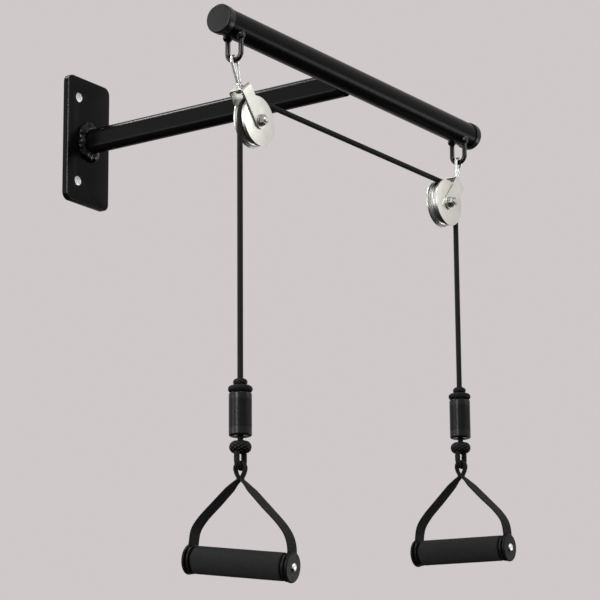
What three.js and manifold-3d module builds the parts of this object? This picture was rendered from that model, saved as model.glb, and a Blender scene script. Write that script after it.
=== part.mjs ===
// Wall pulley unit: a T bracket bolted to a wall, a swivel pulley block on a staple near each end of its
// crossbar, one braided rope over both sheaves, and a stopper and a stirrup handle on each rope end.
// Millimetres. The origin is the middle of the wall plate's back face, +X points out from the wall,
// +Y runs along the crossbar to the right of a person facing the wall, and +Z is up.
import * as THREE from "three";
import { mergeVertices } from "three/addons/utils/BufferGeometryUtils.js";
import Module from "manifold-3d";

const wasm = await Module();
wasm.setup();

// Clearance that separate pieces keep, and how far a cutting tool runs past what it cuts
const GAP = 0.3;
const OVERRUN = 2;

// Facets round large, middling and small round pieces
const LARGE_ROUND = 24;
const MIDDLE_ROUND = 16;
const SMALL_ROUND = 12;

// Wall plate
const PLATE_WIDTH = 100;
const PLATE_HEIGHT = 200;
const PLATE_THICK = 10;
const PLATE_CORNER = 12;
const PLATE_EDGE = 1;
const PLATE_HOLE = 14;
const PLATE_HOLE_Y = -24;
const PLATE_HOLE_Z = 67;

// Support arm, a flat-sided oval tube, and the crossbar that it carries
const BAR_REACH = 500;
const BAR_DIAMETER = 38;
const BAR_WALL = 2;
const BAR_LENGTH = 640;
const ARM_HEIGHT = BAR_DIAMETER;
const ARM_WIDTH = 25;
const ARM_CORNER = 9;
const ARM_WALL = 2.2;
const ARM_STOPS_SHORT = 14;

// Weld beads
const ROOT_BEAD_WIDTH = 12;
const ROOT_BEAD_HEIGHT = 9;
const BAR_BEAD_DIAMETER = 4.4;
const BAR_BEAD_HALF_ANGLE = THREE.MathUtils.degToRad(38);

// Push-on end caps
const CAP_END_THICK = 4.7;
const CAP_SLEEVE = 17;
const CAP_WALL = 1.2;
const CAP_FILLET = 3;

// Staples under the crossbar
const STAPLE_INSET = 32;
const STAPLE_SPREAD = BAR_LENGTH / 2 - STAPLE_INSET;
const STAPLE_ROD = 7;
const STAPLE_WIDTH = 22;
const STAPLE_DROP = 50;
const STAPLE_BLOB = 14;

// Swivel eye
const EYE_WIRE = 4.5;
const EYE_INNER = 9;
const EYE_REACH = 37;
const EYE_LEAN = THREE.MathUtils.degToRad(18);
const SHANK_DIAMETER = 6.5;
const SHANK_COLLAR = 10;
const SHANK_COLLAR_THICK = 2;
const SHANK_HEAD = 13;
const SHANK_HEAD_THICK = 4;
const SHANK_HOLE = 10;

// Rope, sheave and pulley block
const ROPE_DIAMETER = 8;
const SHEAVE_PITCH_RADIUS = 32.5;
const SHEAVE_RIM_RISE = 1.5;
const SHEAVE_RIM_RADIUS = SHEAVE_PITCH_RADIUS + SHEAVE_RIM_RISE;
const SHEAVE_WIDTH = 14;
const SHEAVE_HUB = 24;
const SHEAVE_WEB = 9;
const CHEEK_MARGIN = 1;
const CHEEK_RADIUS = SHEAVE_RIM_RADIUS + CHEEK_MARGIN;
const CHEEK_THICK = 1.5;
const CHEEK_CLEARANCE = 0.5;
const STRAP_WIDTH = 24;
const STRAP_THICK = 2.2;
const STRAP_BEND = 4.5;
const STRAP_HEADROOM = 17;
const BRIDGE_TO_AXLE = CHEEK_RADIUS + STRAP_HEADROOM;
const BLOCK_LEAN = THREE.MathUtils.degToRad(40);
const AXLE_DIAMETER = 8;
const BUSH_DIAMETER = 16;
const AXLE_HEX = 13;
const AXLE_HEAD_THICK = 5.3;
const AXLE_NUT_THICK = 5.5;
const AXLE_PROUD = 1.6;
const WASHER_DIAMETER = 17;
const WASHER_THICK = 1.5;

// Stopper and knots of a rope end, measured from the stopper's top
const STOPPER_DIAMETER = 30.5;
const STOPPER_LENGTH = 58;
const STOPPER_BORE = 10;
const STOPPER_RIBS = 6;
const STOPPER_RIB_DEPTH = 0.5;
const STOPPER_PLAIN_END = 9;
const STOPPER_FILLET = 3;
const RING_KNOT_DIAMETER = 33;
const RING_KNOT_HEIGHT = 9.5;
const BULB_KNOT_DIAMETER = 19.5;
const BULB_KNOT_HEIGHT = 9.5;
const NECK_LENGTH = 6;
const LOWER_KNOT_DIAMETER = 30;
const LOWER_KNOT_HEIGHT = 19.5;
const LOOP_INNER = 12;
const LOOP_DEPTH = 16;

// Handle
const GRIP_LENGTH = 130;
const FOAM_DIAMETER = 37;
const CORE_DIAMETER = 22;
const CORE_WALL = 2;
const HUB_COLLAR = 30;
const HUB_COLLAR_THICK = 3;
const HUB_FLANGE = 38;
const HUB_FLANGE_THICK = 3;
const HUB_SPIGOT = 14;
const OUTER_DISC = 40;
const OUTER_DISC_THICK = 3.5;
const THROUGH_BOLT = 6;
const BOLT_HEAD = 10;
const BOLT_HEAD_THICK = 2.4;
const GRIP_DROP = 125;
const WEBBING_WIDTH = 25;
const WEBBING_THICK = 2.2;
const EYE_FOLD_WIDTH = 9;
const EYE_FOLD_THICK = 4;
const PINCH_DROP = 15;
const FRONT_LEG_TWIST = THREE.MathUtils.degToRad(7);

// The two sides: rope drop to the stopper's top, and how its handle hangs
const LEFT_STOPPER_DROP = 506;
const RIGHT_STOPPER_DROP = 421;
const LEFT_YAW = THREE.MathUtils.degToRad(8);
const RIGHT_YAW = THREE.MathUtils.degToRad(3.4);
const LEFT_TILT = THREE.MathUtils.degToRad(8.3);
const RIGHT_TILT = THREE.MathUtils.degToRad(1.7);
const SIDES = [
  { name: "left", side: -1, stopperDrop: LEFT_STOPPER_DROP, yaw: LEFT_YAW, tilt: LEFT_TILT },
  { name: "right", side: 1, stopperDrop: RIGHT_STOPPER_DROP, yaw: RIGHT_YAW, tilt: RIGHT_TILT },
];

const QUARTER = Math.PI / 2;
const ropeRadius = ROPE_DIAMETER / 2;
const barRadius = BAR_DIAMETER / 2;

const finish = (color, roughness, metalness) => () =>
  new THREE.MeshStandardMaterial({ color, roughness, metalness });
const powderCoat = finish(0x1a1b1d, 0.42, 0.2);
const blackPlastic = finish(0x25272a, 0.5, 0);
const zincPlate = finish(0xb4b8bc, 0.34, 1);
const brightSteel = finish(0xd2d5d8, 0.22, 1);
const bronze = finish(0x9a7a4a, 0.5, 0.9);
const braid = finish(0x17181a, 0.85, 0);
const foam = finish(0x1f2123, 0.95, 0);
const webbingCloth = finish(0x15161a, 0.9, 0);

const part = new THREE.Group();

const addPiece = (parent, name, geometry, material) => {
  const piece = new THREE.Mesh(geometry, material());
  piece.name = name;
  parent.add(piece);
  return piece;
};

const groupAt = (parent, x, y, z) => {
  const group = new THREE.Group();
  group.position.set(x, y, z);
  parent.add(group);
  return group;
};

// Solids for cutting and joining, and back to a geometry
function solidOf(geometry) {
  const bare = geometry.clone();
  bare.deleteAttribute("normal");
  bare.deleteAttribute("uv");
  const merged = mergeVertices(bare, 1e-4);
  return new wasm.Manifold(
    new wasm.Mesh({
      numProp: 3,
      vertProperties: merged.attributes.position.array,
      triVerts: new Uint32Array(merged.index.array),
    }),
  );
}

function geometryOf(solid) {
  const mesh = solid.getMesh();
  const geometry = new THREE.BufferGeometry();
  geometry.setAttribute("position", new THREE.BufferAttribute(new Float32Array(mesh.vertProperties), 3));
  geometry.setIndex(new THREE.BufferAttribute(new Uint32Array(mesh.triVerts), 1));
  const flat = geometry.toNonIndexed();
  flat.computeVertexNormals();
  return flat;
}

// A turned piece about +Y from [radius, height] points; a ring's profile closes on itself
function turned(profile, segments) {
  const closed = profile[0][0] > 0;
  const loop = closed ? [...profile, profile[0]] : profile;
  let doubleArea = 0;
  loop.forEach(([r, h], i) => {
    const [nextR, nextH] = loop[(i + 1) % loop.length];
    doubleArea += r * nextH - nextR * h;
  });
  const ordered = doubleArea < 0 ? [...loop].reverse() : loop;
  return new THREE.LatheGeometry(ordered.map(([r, h]) => new THREE.Vector2(r, h)), segments);
}

const turnedAboutX = (profile, segments) => turned(profile, segments).rotateZ(-QUARTER);
const turnedAboutZ = (profile, segments) => turned(profile, segments).rotateX(QUARTER);

// Profile of a plain rod or ring between two heights
const rodProfile = (radius, low, high) => [[0, low], [radius, low], [radius, high], [0, high]];
const ringProfile = (inner, outer, low, high) => [[inner, low], [outer, low], [outer, high], [inner, high]];

// Points of a profile's rounded corner, as [radius, height], from one angle to another
function cornerPoints(centreRadius, centreHeight, radius, from, to, steps) {
  return Array.from({ length: steps + 1 }, (_, i) => {
    const angle = from + ((to - from) * i) / steps;
    return [centreRadius + radius * Math.cos(angle), centreHeight + radius * Math.sin(angle)];
  });
}

function roundedRectangle(width, height, radius, target = new THREE.Shape()) {
  const w = width / 2;
  const h = height / 2;
  target.moveTo(w, -h + radius);
  target.lineTo(w, h - radius);
  target.absarc(w - radius, h - radius, radius, 0, QUARTER, false);
  target.lineTo(-w + radius, h);
  target.absarc(-w + radius, h - radius, radius, QUARTER, Math.PI, false);
  target.lineTo(-w, -h + radius);
  target.absarc(-w + radius, -h + radius, radius, Math.PI, 3 * QUARTER, false);
  target.lineTo(w - radius, -h);
  target.absarc(w - radius, -h + radius, radius, 3 * QUARTER, 4 * QUARTER, false);
  return target;
}

function circleHole(x, y, diameter) {
  const hole = new THREE.Path();
  hole.absarc(x, y, diameter / 2, 0, 4 * QUARTER, true);
  return hole;
}

// A plate drawn in Y and Z and extruded along +X
const extrudedAlongX = (shape, depth, options = {}) =>
  new THREE.ExtrudeGeometry(shape, { depth, bevelEnabled: false, curveSegments: 4, ...options })
    .rotateX(QUARTER)
    .rotateZ(QUARTER);

// An arc in the plane of two unit directions
class ArcCurve extends THREE.Curve {
  constructor(centre, right, up, radius, from, to) {
    super();
    Object.assign(this, { centre, right, up, radius, from, to });
  }
  getPoint(t) {
    const angle = this.from + (this.to - this.from) * t;
    return this.centre
      .clone()
      .addScaledVector(this.right, this.radius * Math.cos(angle))
      .addScaledVector(this.up, this.radius * Math.sin(angle));
  }
}

const joinedCurves = (...curves) => {
  const path = new THREE.CurvePath();
  curves.forEach((curve) => path.add(curve));
  return path;
};

// A round rod, wire or rope of the given diameter along a curve
function rodAlong(curve, diameter, sides, steps) {
  const section = new THREE.Shape(
    Array.from({ length: sides }, (_, i) => {
      const angle = ((i + 1 / 2) / sides) * 4 * QUARTER;
      return new THREE.Vector2(Math.cos(angle), Math.sin(angle)).multiplyScalar(diameter / 2);
    }),
  );
  return new THREE.ExtrudeGeometry(section, { steps, extrudePath: curve, bevelEnabled: false });
}

// A skin through rings of points, closed round on itself or capped at both ends
function lofted(rings, closesOnItself) {
  const around = rings[0].length;
  const points = rings.flat();
  const faces = [];
  const last = closesOnItself ? rings.length : rings.length - 1;
  for (let i = 0; i < last; i++) {
    const row = i * around;
    const next = ((i + 1) % rings.length) * around;
    for (let j = 0; j < around; j++) {
      const k = (j + 1) % around;
      faces.push(row + j, row + k, next + k, row + j, next + k, next + j);
    }
  }
  if (!closesOnItself) {
    const end = (rings.length - 1) * around;
    for (let j = 1; j < around - 1; j++) {
      faces.push(0, j + 1, j, end, end + j, end + j + 1);
    }
  }
  const geometry = new THREE.BufferGeometry().setFromPoints(points);
  geometry.setIndex(faces);
  const flat = geometry.toNonIndexed();
  flat.computeVertexNormals();
  return flat;
}

// The flat steel plate that two bolts hold to the wall; both holes lie left of the arm
function wallPlate() {
  const outline = roundedRectangle(PLATE_WIDTH, PLATE_HEIGHT, PLATE_CORNER);
  for (const z of [PLATE_HOLE_Z, -PLATE_HOLE_Z]) {
    outline.holes.push(circleHole(PLATE_HOLE_Y, z, PLATE_HOLE));
  }
  return extrudedAlongX(outline, PLATE_THICK - 2 * PLATE_EDGE, {
    bevelEnabled: true,
    bevelThickness: PLATE_EDGE,
    bevelSize: PLATE_EDGE,
    bevelOffset: -PLATE_EDGE,
    bevelSegments: 1,
  }).translate(PLATE_EDGE, 0, 0);
}

function barCutter() {
  const profile = rodProfile(barRadius + GAP, -BAR_LENGTH / 2, BAR_LENGTH / 2);
  return solidOf(turned(profile, LARGE_ROUND).translate(BAR_REACH, 0, 0));
}

// The arm's open tube, whose end is cut to a saddle round the crossbar
function supportArm() {
  const outline = roundedRectangle(ARM_WIDTH, ARM_HEIGHT, ARM_CORNER);
  const bore = [ARM_WIDTH - 2 * ARM_WALL, ARM_HEIGHT - 2 * ARM_WALL, ARM_CORNER - ARM_WALL];
  outline.holes.push(roundedRectangle(...bore, new THREE.Path()));
  const start = PLATE_THICK + GAP;
  const length = BAR_REACH - ARM_STOPS_SHORT - start;
  const tube = solidOf(extrudedAlongX(outline, length).translate(start, 0, 0));
  return geometryOf(tube.subtract(barCutter()));
}

// The rippled weld bead that runs all round the arm's root on the plate
function wallWeld() {
  const steps = 40;
  const crownShares = [0, 0.4, 0.75, 1];
  const ripples = [
    { count: 9, depthShare: 0.09, turnShare: 0 },
    { count: 4, depthShare: 0.06, turnShare: 0.16 },
  ];
  const coreWidth = ARM_WIDTH / 2 - ARM_CORNER;
  const coreHeight = ARM_HEIGHT / 2 - ARM_CORNER;
  const path = roundedRectangle(ARM_WIDTH, ARM_HEIGHT, ARM_CORNER).getSpacedPoints(steps).slice(0, steps);
  const rings = path.map((point, i) => {
    const turn = (i / steps) * 4 * QUARTER;
    const core = new THREE.Vector2(
      THREE.MathUtils.clamp(point.x, -coreWidth, coreWidth),
      THREE.MathUtils.clamp(point.y, -coreHeight, coreHeight),
    );
    const out = point.clone().sub(core).normalize();
    const rippleShare = ripples.reduce(
      (sum, { count, depthShare, turnShare }) =>
        sum + depthShare * Math.sin(count * turn + turnShare * 4 * QUARTER),
      1,
    );
    const place = (width, height) =>
      new THREE.Vector3(
        PLATE_THICK + GAP + height,
        point.x + out.x * (GAP + width),
        point.y + out.y * (GAP + width),
      );
    const crown = crownShares.map((share) => {
      const angle = share * QUARTER;
      const width = ROOT_BEAD_WIDTH * rippleShare * Math.cos(angle);
      return place(width, ROOT_BEAD_HEIGHT * rippleShare * Math.sin(angle));
    });
    return [...crown.reverse(), place(0, 0)];
  });
  return lofted(rings, true);
}

// The bead on one side of the arm's saddle, round the crossbar
function barWeld(side) {
  const radius = barRadius + GAP + BAR_BEAD_DIAMETER / 2;
  const y = side * (ARM_WIDTH / 2 + GAP + BAR_BEAD_DIAMETER / 2);
  const curve = new ArcCurve(
    new THREE.Vector3(BAR_REACH, y, 0),
    new THREE.Vector3(-1, 0, 0),
    new THREE.Vector3(0, 0, 1),
    radius,
    -BAR_BEAD_HALF_ANGLE,
    BAR_BEAD_HALF_ANGLE,
  );
  return rodAlong(curve, BAR_BEAD_DIAMETER, 6, 8);
}

const crossbar = () =>
  turned(ringProfile(barRadius - BAR_WALL, barRadius, -BAR_LENGTH / 2, BAR_LENGTH / 2), LARGE_ROUND);

// A moulded cap pushed over the bar's end, with a rounded rim
function endCap() {
  const inner = barRadius + GAP;
  const outer = inner + CAP_WALL;
  const floor = BAR_LENGTH / 2 + GAP;
  const end = floor + CAP_END_THICK;
  const lip = floor - CAP_SLEEVE;
  return turned(
    [
      [0, floor],
      [inner, floor],
      [inner, lip],
      [outer, lip],
      ...cornerPoints(outer - CAP_FILLET, end - CAP_FILLET, CAP_FILLET, 0, QUARTER, 3),
      [0, end],
    ],
    LARGE_ROUND,
  );
}

// A U of round bar welded under the crossbar, with a lump of weld at each leg
function staple() {
  const half = STAPLE_WIDTH / 2;
  const bendHeight = -STAPLE_DROP + half;
  const legTop = -Math.sqrt(barRadius ** 2 - half ** 2) + OVERRUN;
  const at = (x, z) => new THREE.Vector3(x, 0, z);
  const rod = rodAlong(
    joinedCurves(
      new THREE.LineCurve3(at(-half, legTop), at(-half, bendHeight)),
      new ArcCurve(at(0, bendHeight), at(1, 0), at(0, 1), half, 2 * QUARTER, 4 * QUARTER),
      new THREE.LineCurve3(at(half, bendHeight), at(half, legTop)),
    ),
    STAPLE_ROD,
    8,
    16,
  );
  const blobRadius = STAPLE_BLOB / 2;
  const roundShare = 0.6;
  const flank = cornerPoints(0, 0, blobRadius, -QUARTER * roundShare, QUARTER * roundShare, 3);
  const blob = turnedAboutZ([[0, -blobRadius], ...flank, [0, blobRadius]], 8);
  let solid = solidOf(rod);
  for (const x of [-half, half]) {
    solid = solid.add(solidOf(blob.clone().translate(x, 0, legTop - OVERRUN)));
  }
  const reach = blobRadius + OVERRUN;
  const bar = turned(rodProfile(barRadius + GAP, -reach, reach), LARGE_ROUND);
  return geometryOf(solid.subtract(solidOf(bar)));
}

// A bent wire eye whose two ends join in a headed shank; the staple's rod passes through the origin
function swivelEye() {
  const wireRadius = EYE_WIRE / 2;
  const bend = EYE_INNER / 2 + wireRadius;
  const centre = new THREE.Vector3(0, 0, STAPLE_ROD / 2 + GAP + wireRadius - bend);
  const bridgeFace = STRAP_THICK / 2 + GAP;
  const relativeLean = BLOCK_LEAN - EYE_LEAN;
  const clearOfBridge = (radius) => (bridgeFace + radius * Math.sin(relativeLean)) / Math.cos(relativeLean);
  const collarLow = -EYE_REACH + clearOfBridge(SHANK_COLLAR / 2);
  const collarHigh = collarLow + SHANK_COLLAR_THICK;
  const headHigh = -EYE_REACH - clearOfBridge(SHANK_HEAD / 2);
  const headLow = headHigh - SHANK_HEAD_THICK;
  const footShare = 0.8;
  const rootShare = 0.3;
  const headFaceShare = 0.36;
  const headEdgeShare = 0.6;
  const foot = new THREE.Vector3(0, wireRadius * footShare, collarHigh);
  const fromCentre = foot.clone().sub(centre);
  const start = Math.atan2(fromCentre.z, fromCentre.y) + Math.acos(bend / fromCentre.length());
  const tangentAt = (mirror) =>
    new THREE.Vector3(0, mirror * bend * Math.cos(start), centre.z + bend * Math.sin(start));
  const footAt = (mirror) => new THREE.Vector3(0, mirror * foot.y, foot.z);
  const wire = rodAlong(
    joinedCurves(
      new THREE.LineCurve3(footAt(1), tangentAt(1)),
      new ArcCurve(
        centre,
        new THREE.Vector3(0, 1, 0),
        new THREE.Vector3(0, 0, 1),
        bend,
        start,
        Math.PI - start,
      ),
      new THREE.LineCurve3(tangentAt(-1), footAt(-1)),
    ),
    EYE_WIRE,
    6,
    20,
  );
  const shankRadius = SHANK_DIAMETER / 2;
  const shank = turnedAboutZ(
    [
      [0, headLow],
      [SHANK_HEAD * headFaceShare, headLow],
      [SHANK_HEAD / 2, headHigh - SHANK_HEAD_THICK * headEdgeShare],
      [SHANK_HEAD / 2, headHigh],
      [shankRadius, headHigh],
      [shankRadius, collarLow],
      [SHANK_COLLAR / 2, collarLow],
      [SHANK_COLLAR / 2, collarHigh],
      [shankRadius + wireRadius * rootShare, collarHigh + SHANK_COLLAR_THICK],
      [0, collarHigh + 2 * SHANK_COLLAR_THICK],
    ],
    12,
  );
  return geometryOf(solidOf(wire).add(solidOf(shank)));
}

// Half widths across the block, from the sheave outwards
const sheaveHalf = SHEAVE_WIDTH / 2;
const cheekInner = sheaveHalf + CHEEK_CLEARANCE;
const cheekOuter = cheekInner + CHEEK_THICK;
const strapInner = cheekOuter + GAP;
const strapOuter = strapInner + STRAP_THICK;
const axleHole = AXLE_DIAMETER + 2 * GAP;

// The strap is one strip folded over the bridge, with round ends on the axle and a hole for the shank
function blockStrap() {
  const top = BRIDGE_TO_AXLE + STRAP_THICK / 2;
  const foot = -STRAP_WIDTH / 2 - OVERRUN;
  const innerBend = STRAP_BEND - STRAP_THICK;
  const fold = new THREE.Shape();
  fold.moveTo(strapOuter, foot);
  fold.lineTo(strapOuter, top - STRAP_BEND);
  fold.absarc(strapOuter - STRAP_BEND, top - STRAP_BEND, STRAP_BEND, 0, QUARTER, false);
  fold.lineTo(-strapOuter + STRAP_BEND, top);
  fold.absarc(-strapOuter + STRAP_BEND, top - STRAP_BEND, STRAP_BEND, QUARTER, 2 * QUARTER, false);
  fold.lineTo(-strapOuter, foot);
  fold.lineTo(-strapInner, foot);
  fold.lineTo(-strapInner, top - STRAP_BEND);
  fold.absarc(-strapOuter + STRAP_BEND, top - STRAP_BEND, innerBend, 2 * QUARTER, QUARTER, true);
  fold.lineTo(strapOuter - STRAP_BEND, top - STRAP_THICK);
  fold.absarc(strapOuter - STRAP_BEND, top - STRAP_BEND, innerBend, QUARTER, 0, true);
  fold.lineTo(strapInner, foot);
  const strip = new THREE.ExtrudeGeometry(fold, {
    depth: STRAP_WIDTH,
    bevelEnabled: false,
    curveSegments: 4,
  })
    .rotateX(QUARTER)
    .translate(0, STRAP_WIDTH / 2, 0);
  const outline = new THREE.Shape();
  outline.absarc(0, 0, STRAP_WIDTH / 2, 2 * QUARTER, 4 * QUARTER, false);
  outline.lineTo(STRAP_WIDTH / 2, top + OVERRUN);
  outline.lineTo(-STRAP_WIDTH / 2, top + OVERRUN);
  const reach = strapOuter + OVERRUN;
  const trimmed = extrudedAlongX(outline, 2 * reach, { curveSegments: 10 }).translate(-reach, 0, 0);
  const axle = turnedAboutX(rodProfile(axleHole / 2, -reach, reach), SMALL_ROUND);
  const shankLow = top - STRAP_THICK - OVERRUN;
  const shank = turnedAboutZ(rodProfile(SHANK_HOLE / 2, shankLow, top + OVERRUN), SMALL_ROUND);
  const strap = solidOf(strip).intersect(solidOf(trimmed));
  return geometryOf(strap.subtract(solidOf(axle)).subtract(solidOf(shank)));
}

// A pressed round cheek plate
function cheek(side) {
  const profile = ringProfile(axleHole / 2, CHEEK_RADIUS, cheekInner, cheekOuter);
  return turnedAboutX(profile.map(([r, x]) => [r, side * x]), LARGE_ROUND);
}

// A turned sheave with a half-round rope groove, a thinner web and a hub
function sheave() {
  const groove = ropeRadius + GAP;
  const halfMouth = Math.acos(SHEAVE_RIM_RISE / groove);
  const grooveSteps = 6;
  const groovePoints = Array.from({ length: grooveSteps + 1 }, (_, i) => {
    const angle = halfMouth + ((2 * Math.PI - 2 * halfMouth) * i) / grooveSteps;
    return [SHEAVE_PITCH_RADIUS + groove * Math.cos(angle), groove * Math.sin(angle)];
  });
  const rimDropShare = 1 / 3;
  const grooveFloorShare = 1 / 2;
  const rimSide = SHEAVE_RIM_RADIUS - ropeRadius * rimDropShare;
  const webTop = SHEAVE_PITCH_RADIUS - groove - ropeRadius * grooveFloorShare;
  const webHalf = SHEAVE_WEB / 2;
  const hubRadius = SHEAVE_HUB / 2;
  const bore = BUSH_DIAMETER / 2 + GAP;
  return turnedAboutX(
    [
      ...groovePoints,
      [rimSide, -sheaveHalf],
      [webTop, -sheaveHalf],
      [webTop - GAP, -webHalf],
      [hubRadius, -webHalf],
      [hubRadius, -sheaveHalf],
      [bore, -sheaveHalf],
      [bore, sheaveHalf],
      [hubRadius, sheaveHalf],
      [hubRadius, webHalf],
      [webTop - GAP, webHalf],
      [webTop, sheaveHalf],
      [rimSide, sheaveHalf],
    ],
    LARGE_ROUND,
  );
}

function sheaveBush() {
  const bushHalf = sheaveHalf + GAP / 2;
  return turnedAboutX(ringProfile(axleHole / 2, BUSH_DIAMETER / 2, -bushHalf, bushHalf), SMALL_ROUND);
}

// A prism with six sides along X between two places, its outer corners chamfered
function hexagon(acrossFlats, low, high) {
  const corner = acrossFlats / Math.sqrt(3);
  const chamfer = corner - acrossFlats / 2;
  const prism = turnedAboutX(rodProfile(corner, low, high), 6);
  const middle = (low + high) / 2;
  const outer = Math.max(Math.abs(low), Math.abs(high)) * Math.sign(middle);
  const inner = Math.min(Math.abs(low), Math.abs(high)) * Math.sign(middle);
  const shoulder = outer - Math.sign(middle) * chamfer;
  const envelope = turnedAboutX(
    [[0, inner], [corner, inner], [corner, shoulder], [acrossFlats / 2, outer], [0, outer]],
    SMALL_ROUND,
  );
  return solidOf(prism).intersect(solidOf(envelope));
}

const washerPlace = strapOuter + GAP;
const nutPlace = washerPlace + WASHER_THICK + GAP;
const boltEnd = nutPlace + AXLE_NUT_THICK + AXLE_PROUD;

// The axle bolt, with its head at the wall side and its end proud of the nut
function axleBolt() {
  const headPlace = strapOuter + GAP;
  const radius = AXLE_DIAMETER / 2;
  const inHead = -headPlace - AXLE_HEAD_THICK / 2;
  const chamferShare = 0.2;
  const chamfer = radius * chamferShare;
  const shank = turnedAboutX(
    [[0, inHead], [radius, inHead], [radius, boltEnd - chamfer], [radius - chamfer, boltEnd], [0, boltEnd]],
    SMALL_ROUND,
  );
  return geometryOf(solidOf(shank).add(hexagon(AXLE_HEX, -headPlace - AXLE_HEAD_THICK, -headPlace)));
}

function axleNut() {
  const nutEnd = nutPlace + AXLE_NUT_THICK;
  const bore = turnedAboutX(rodProfile(axleHole / 2, nutPlace - OVERRUN, nutEnd + OVERRUN), SMALL_ROUND);
  return geometryOf(hexagon(AXLE_HEX, nutPlace, nutEnd).subtract(solidOf(bore)));
}

function axleWasher() {
  const profile = ringProfile(axleHole / 2, WASHER_DIAMETER / 2, washerPlace, washerPlace + WASHER_THICK);
  return turnedAboutX(profile, SMALL_ROUND);
}

// Where a side's axle and rope drop lie, in the part's frame
function axleOf({ side }) {
  return {
    y: side * (STAPLE_SPREAD - EYE_REACH * Math.sin(EYE_LEAN) - BRIDGE_TO_AXLE * Math.sin(BLOCK_LEAN)),
    z: -STAPLE_DROP - EYE_REACH * Math.cos(EYE_LEAN) - BRIDGE_TO_AXLE * Math.cos(BLOCK_LEAN),
  };
}

// The rope's quarter turn over one sheave, about the axle at the origin
function ropeWrap(side) {
  const curve = new ArcCurve(
    new THREE.Vector3(),
    new THREE.Vector3(0, side, 0),
    new THREE.Vector3(0, 0, 1),
    SHEAVE_PITCH_RADIUS,
    0,
    QUARTER,
  );
  return rodAlong(curve, ROPE_DIAMETER, 8, 9);
}

// A straight run of rope, with a step every three diameters
function straightRope(from, to) {
  const steps = Math.ceil(from.distanceTo(to) / (3 * ROPE_DIAMETER));
  return rodAlong(new THREE.LineCurve3(from, to), ROPE_DIAMETER, 8, steps);
}

// The knot that seats on the stopper: a wide turn of rope with a smaller bulb on it
function upperKnot() {
  const ringCentre = RING_KNOT_HEIGHT / 2;
  const bulbRadius = BULB_KNOT_HEIGHT / 2;
  const bulbCentre = RING_KNOT_HEIGHT + bulbRadius;
  const bulbStartShare = 0.7;
  const ringBend = ringCentre - GAP / 2;
  const ringReach = RING_KNOT_DIAMETER / 2 - ringBend;
  const bulbReach = BULB_KNOT_DIAMETER / 2 - bulbRadius;
  return turnedAboutZ(
    [
      [0, GAP],
      ...cornerPoints(ringReach, ringCentre + GAP / 2, ringBend, -QUARTER, QUARTER, 4),
      ...cornerPoints(bulbReach, bulbCentre, bulbRadius, -QUARTER * bulbStartShare, QUARTER, 3),
      [0, RING_KNOT_HEIGHT + BULB_KNOT_HEIGHT],
    ],
    SMALL_ROUND,
  );
}

// The moulded barrel stopper, bored for the rope, with fine ribs round its middle
function stopper() {
  const outer = STOPPER_DIAMETER / 2;
  const bore = STOPPER_BORE / 2;
  const pitch = (STOPPER_LENGTH - 2 * STOPPER_PLAIN_END) / STOPPER_RIBS;
  const ribs = Array.from({ length: STOPPER_RIBS }, (_, i) => {
    const start = STOPPER_PLAIN_END + i * pitch;
    return [
      [outer, start],
      [outer - STOPPER_RIB_DEPTH, start + pitch / 2],
    ];
  }).flat();
  const low = STOPPER_LENGTH - STOPPER_FILLET;
  return turnedAboutZ(
    [
      ...cornerPoints(outer - STOPPER_FILLET, STOPPER_FILLET, STOPPER_FILLET, -QUARTER, 0, 2),
      ...ribs,
      [outer, STOPPER_LENGTH - STOPPER_PLAIN_END],
      ...cornerPoints(outer - STOPPER_FILLET, low, STOPPER_FILLET, 0, QUARTER, 2),
      [bore, STOPPER_LENGTH],
      [bore, 0],
    ].map(([r, z]) => [r, -z]),
    MIDDLE_ROUND,
  );
}

// Rope through the stopper, the neck below it and the round knot that ends it
function lowerKnot() {
  const top = STOPPER_LENGTH + NECK_LENGTH;
  const knotRadius = LOWER_KNOT_HEIGHT / 2;
  const middle = top + knotRadius;
  const shoulderShare = 0.9;
  const reach = LOWER_KNOT_DIAMETER / 2 - knotRadius;
  return turnedAboutZ(
    [
      [0, 0],
      [ropeRadius, 0],
      [ropeRadius, top],
      ...cornerPoints(reach, middle, knotRadius, -QUARTER * shoulderShare, QUARTER, 5),
      [0, top + LOWER_KNOT_HEIGHT],
    ].map(([r, z]) => [r, -z]),
    SMALL_ROUND,
  );
}

const loopTop = STOPPER_LENGTH + NECK_LENGTH + LOWER_KNOT_HEIGHT + GAP;
const loopRadius = (LOOP_INNER + ROPE_DIAMETER) / 2;
const pivotDrop = loopTop + LOOP_DEPTH;

// The rope's hanging loop, in the plane across the handle's grip
function ropeLoop() {
  const at = (y, z) => new THREE.Vector3(0, y, z);
  const bendHeight = -pivotDrop + loopRadius;
  return rodAlong(
    joinedCurves(
      new THREE.LineCurve3(at(-loopRadius, -loopTop), at(-loopRadius, bendHeight)),
      new ArcCurve(at(0, bendHeight), at(1, 0), at(0, 1), loopRadius, 2 * QUARTER, 4 * QUARTER),
      new THREE.LineCurve3(at(loopRadius, bendHeight), at(loopRadius, -loopTop)),
    ),
    ROPE_DIAMETER,
    8,
    12,
  );
}

// Places along the grip's axis, from its middle
const gripEnd = GRIP_LENGTH / 2;
const hubFace = gripEnd + GAP;
const flangeFace = hubFace + HUB_COLLAR_THICK + HUB_FLANGE_THICK;
const webbingFace = flangeFace + GAP;
const discFace = webbingFace + WEBBING_THICK + GAP;
const discEnd = discFace + OUTER_DISC_THICK;
const boltHole = THROUGH_BOLT + 2 * GAP;

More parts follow.
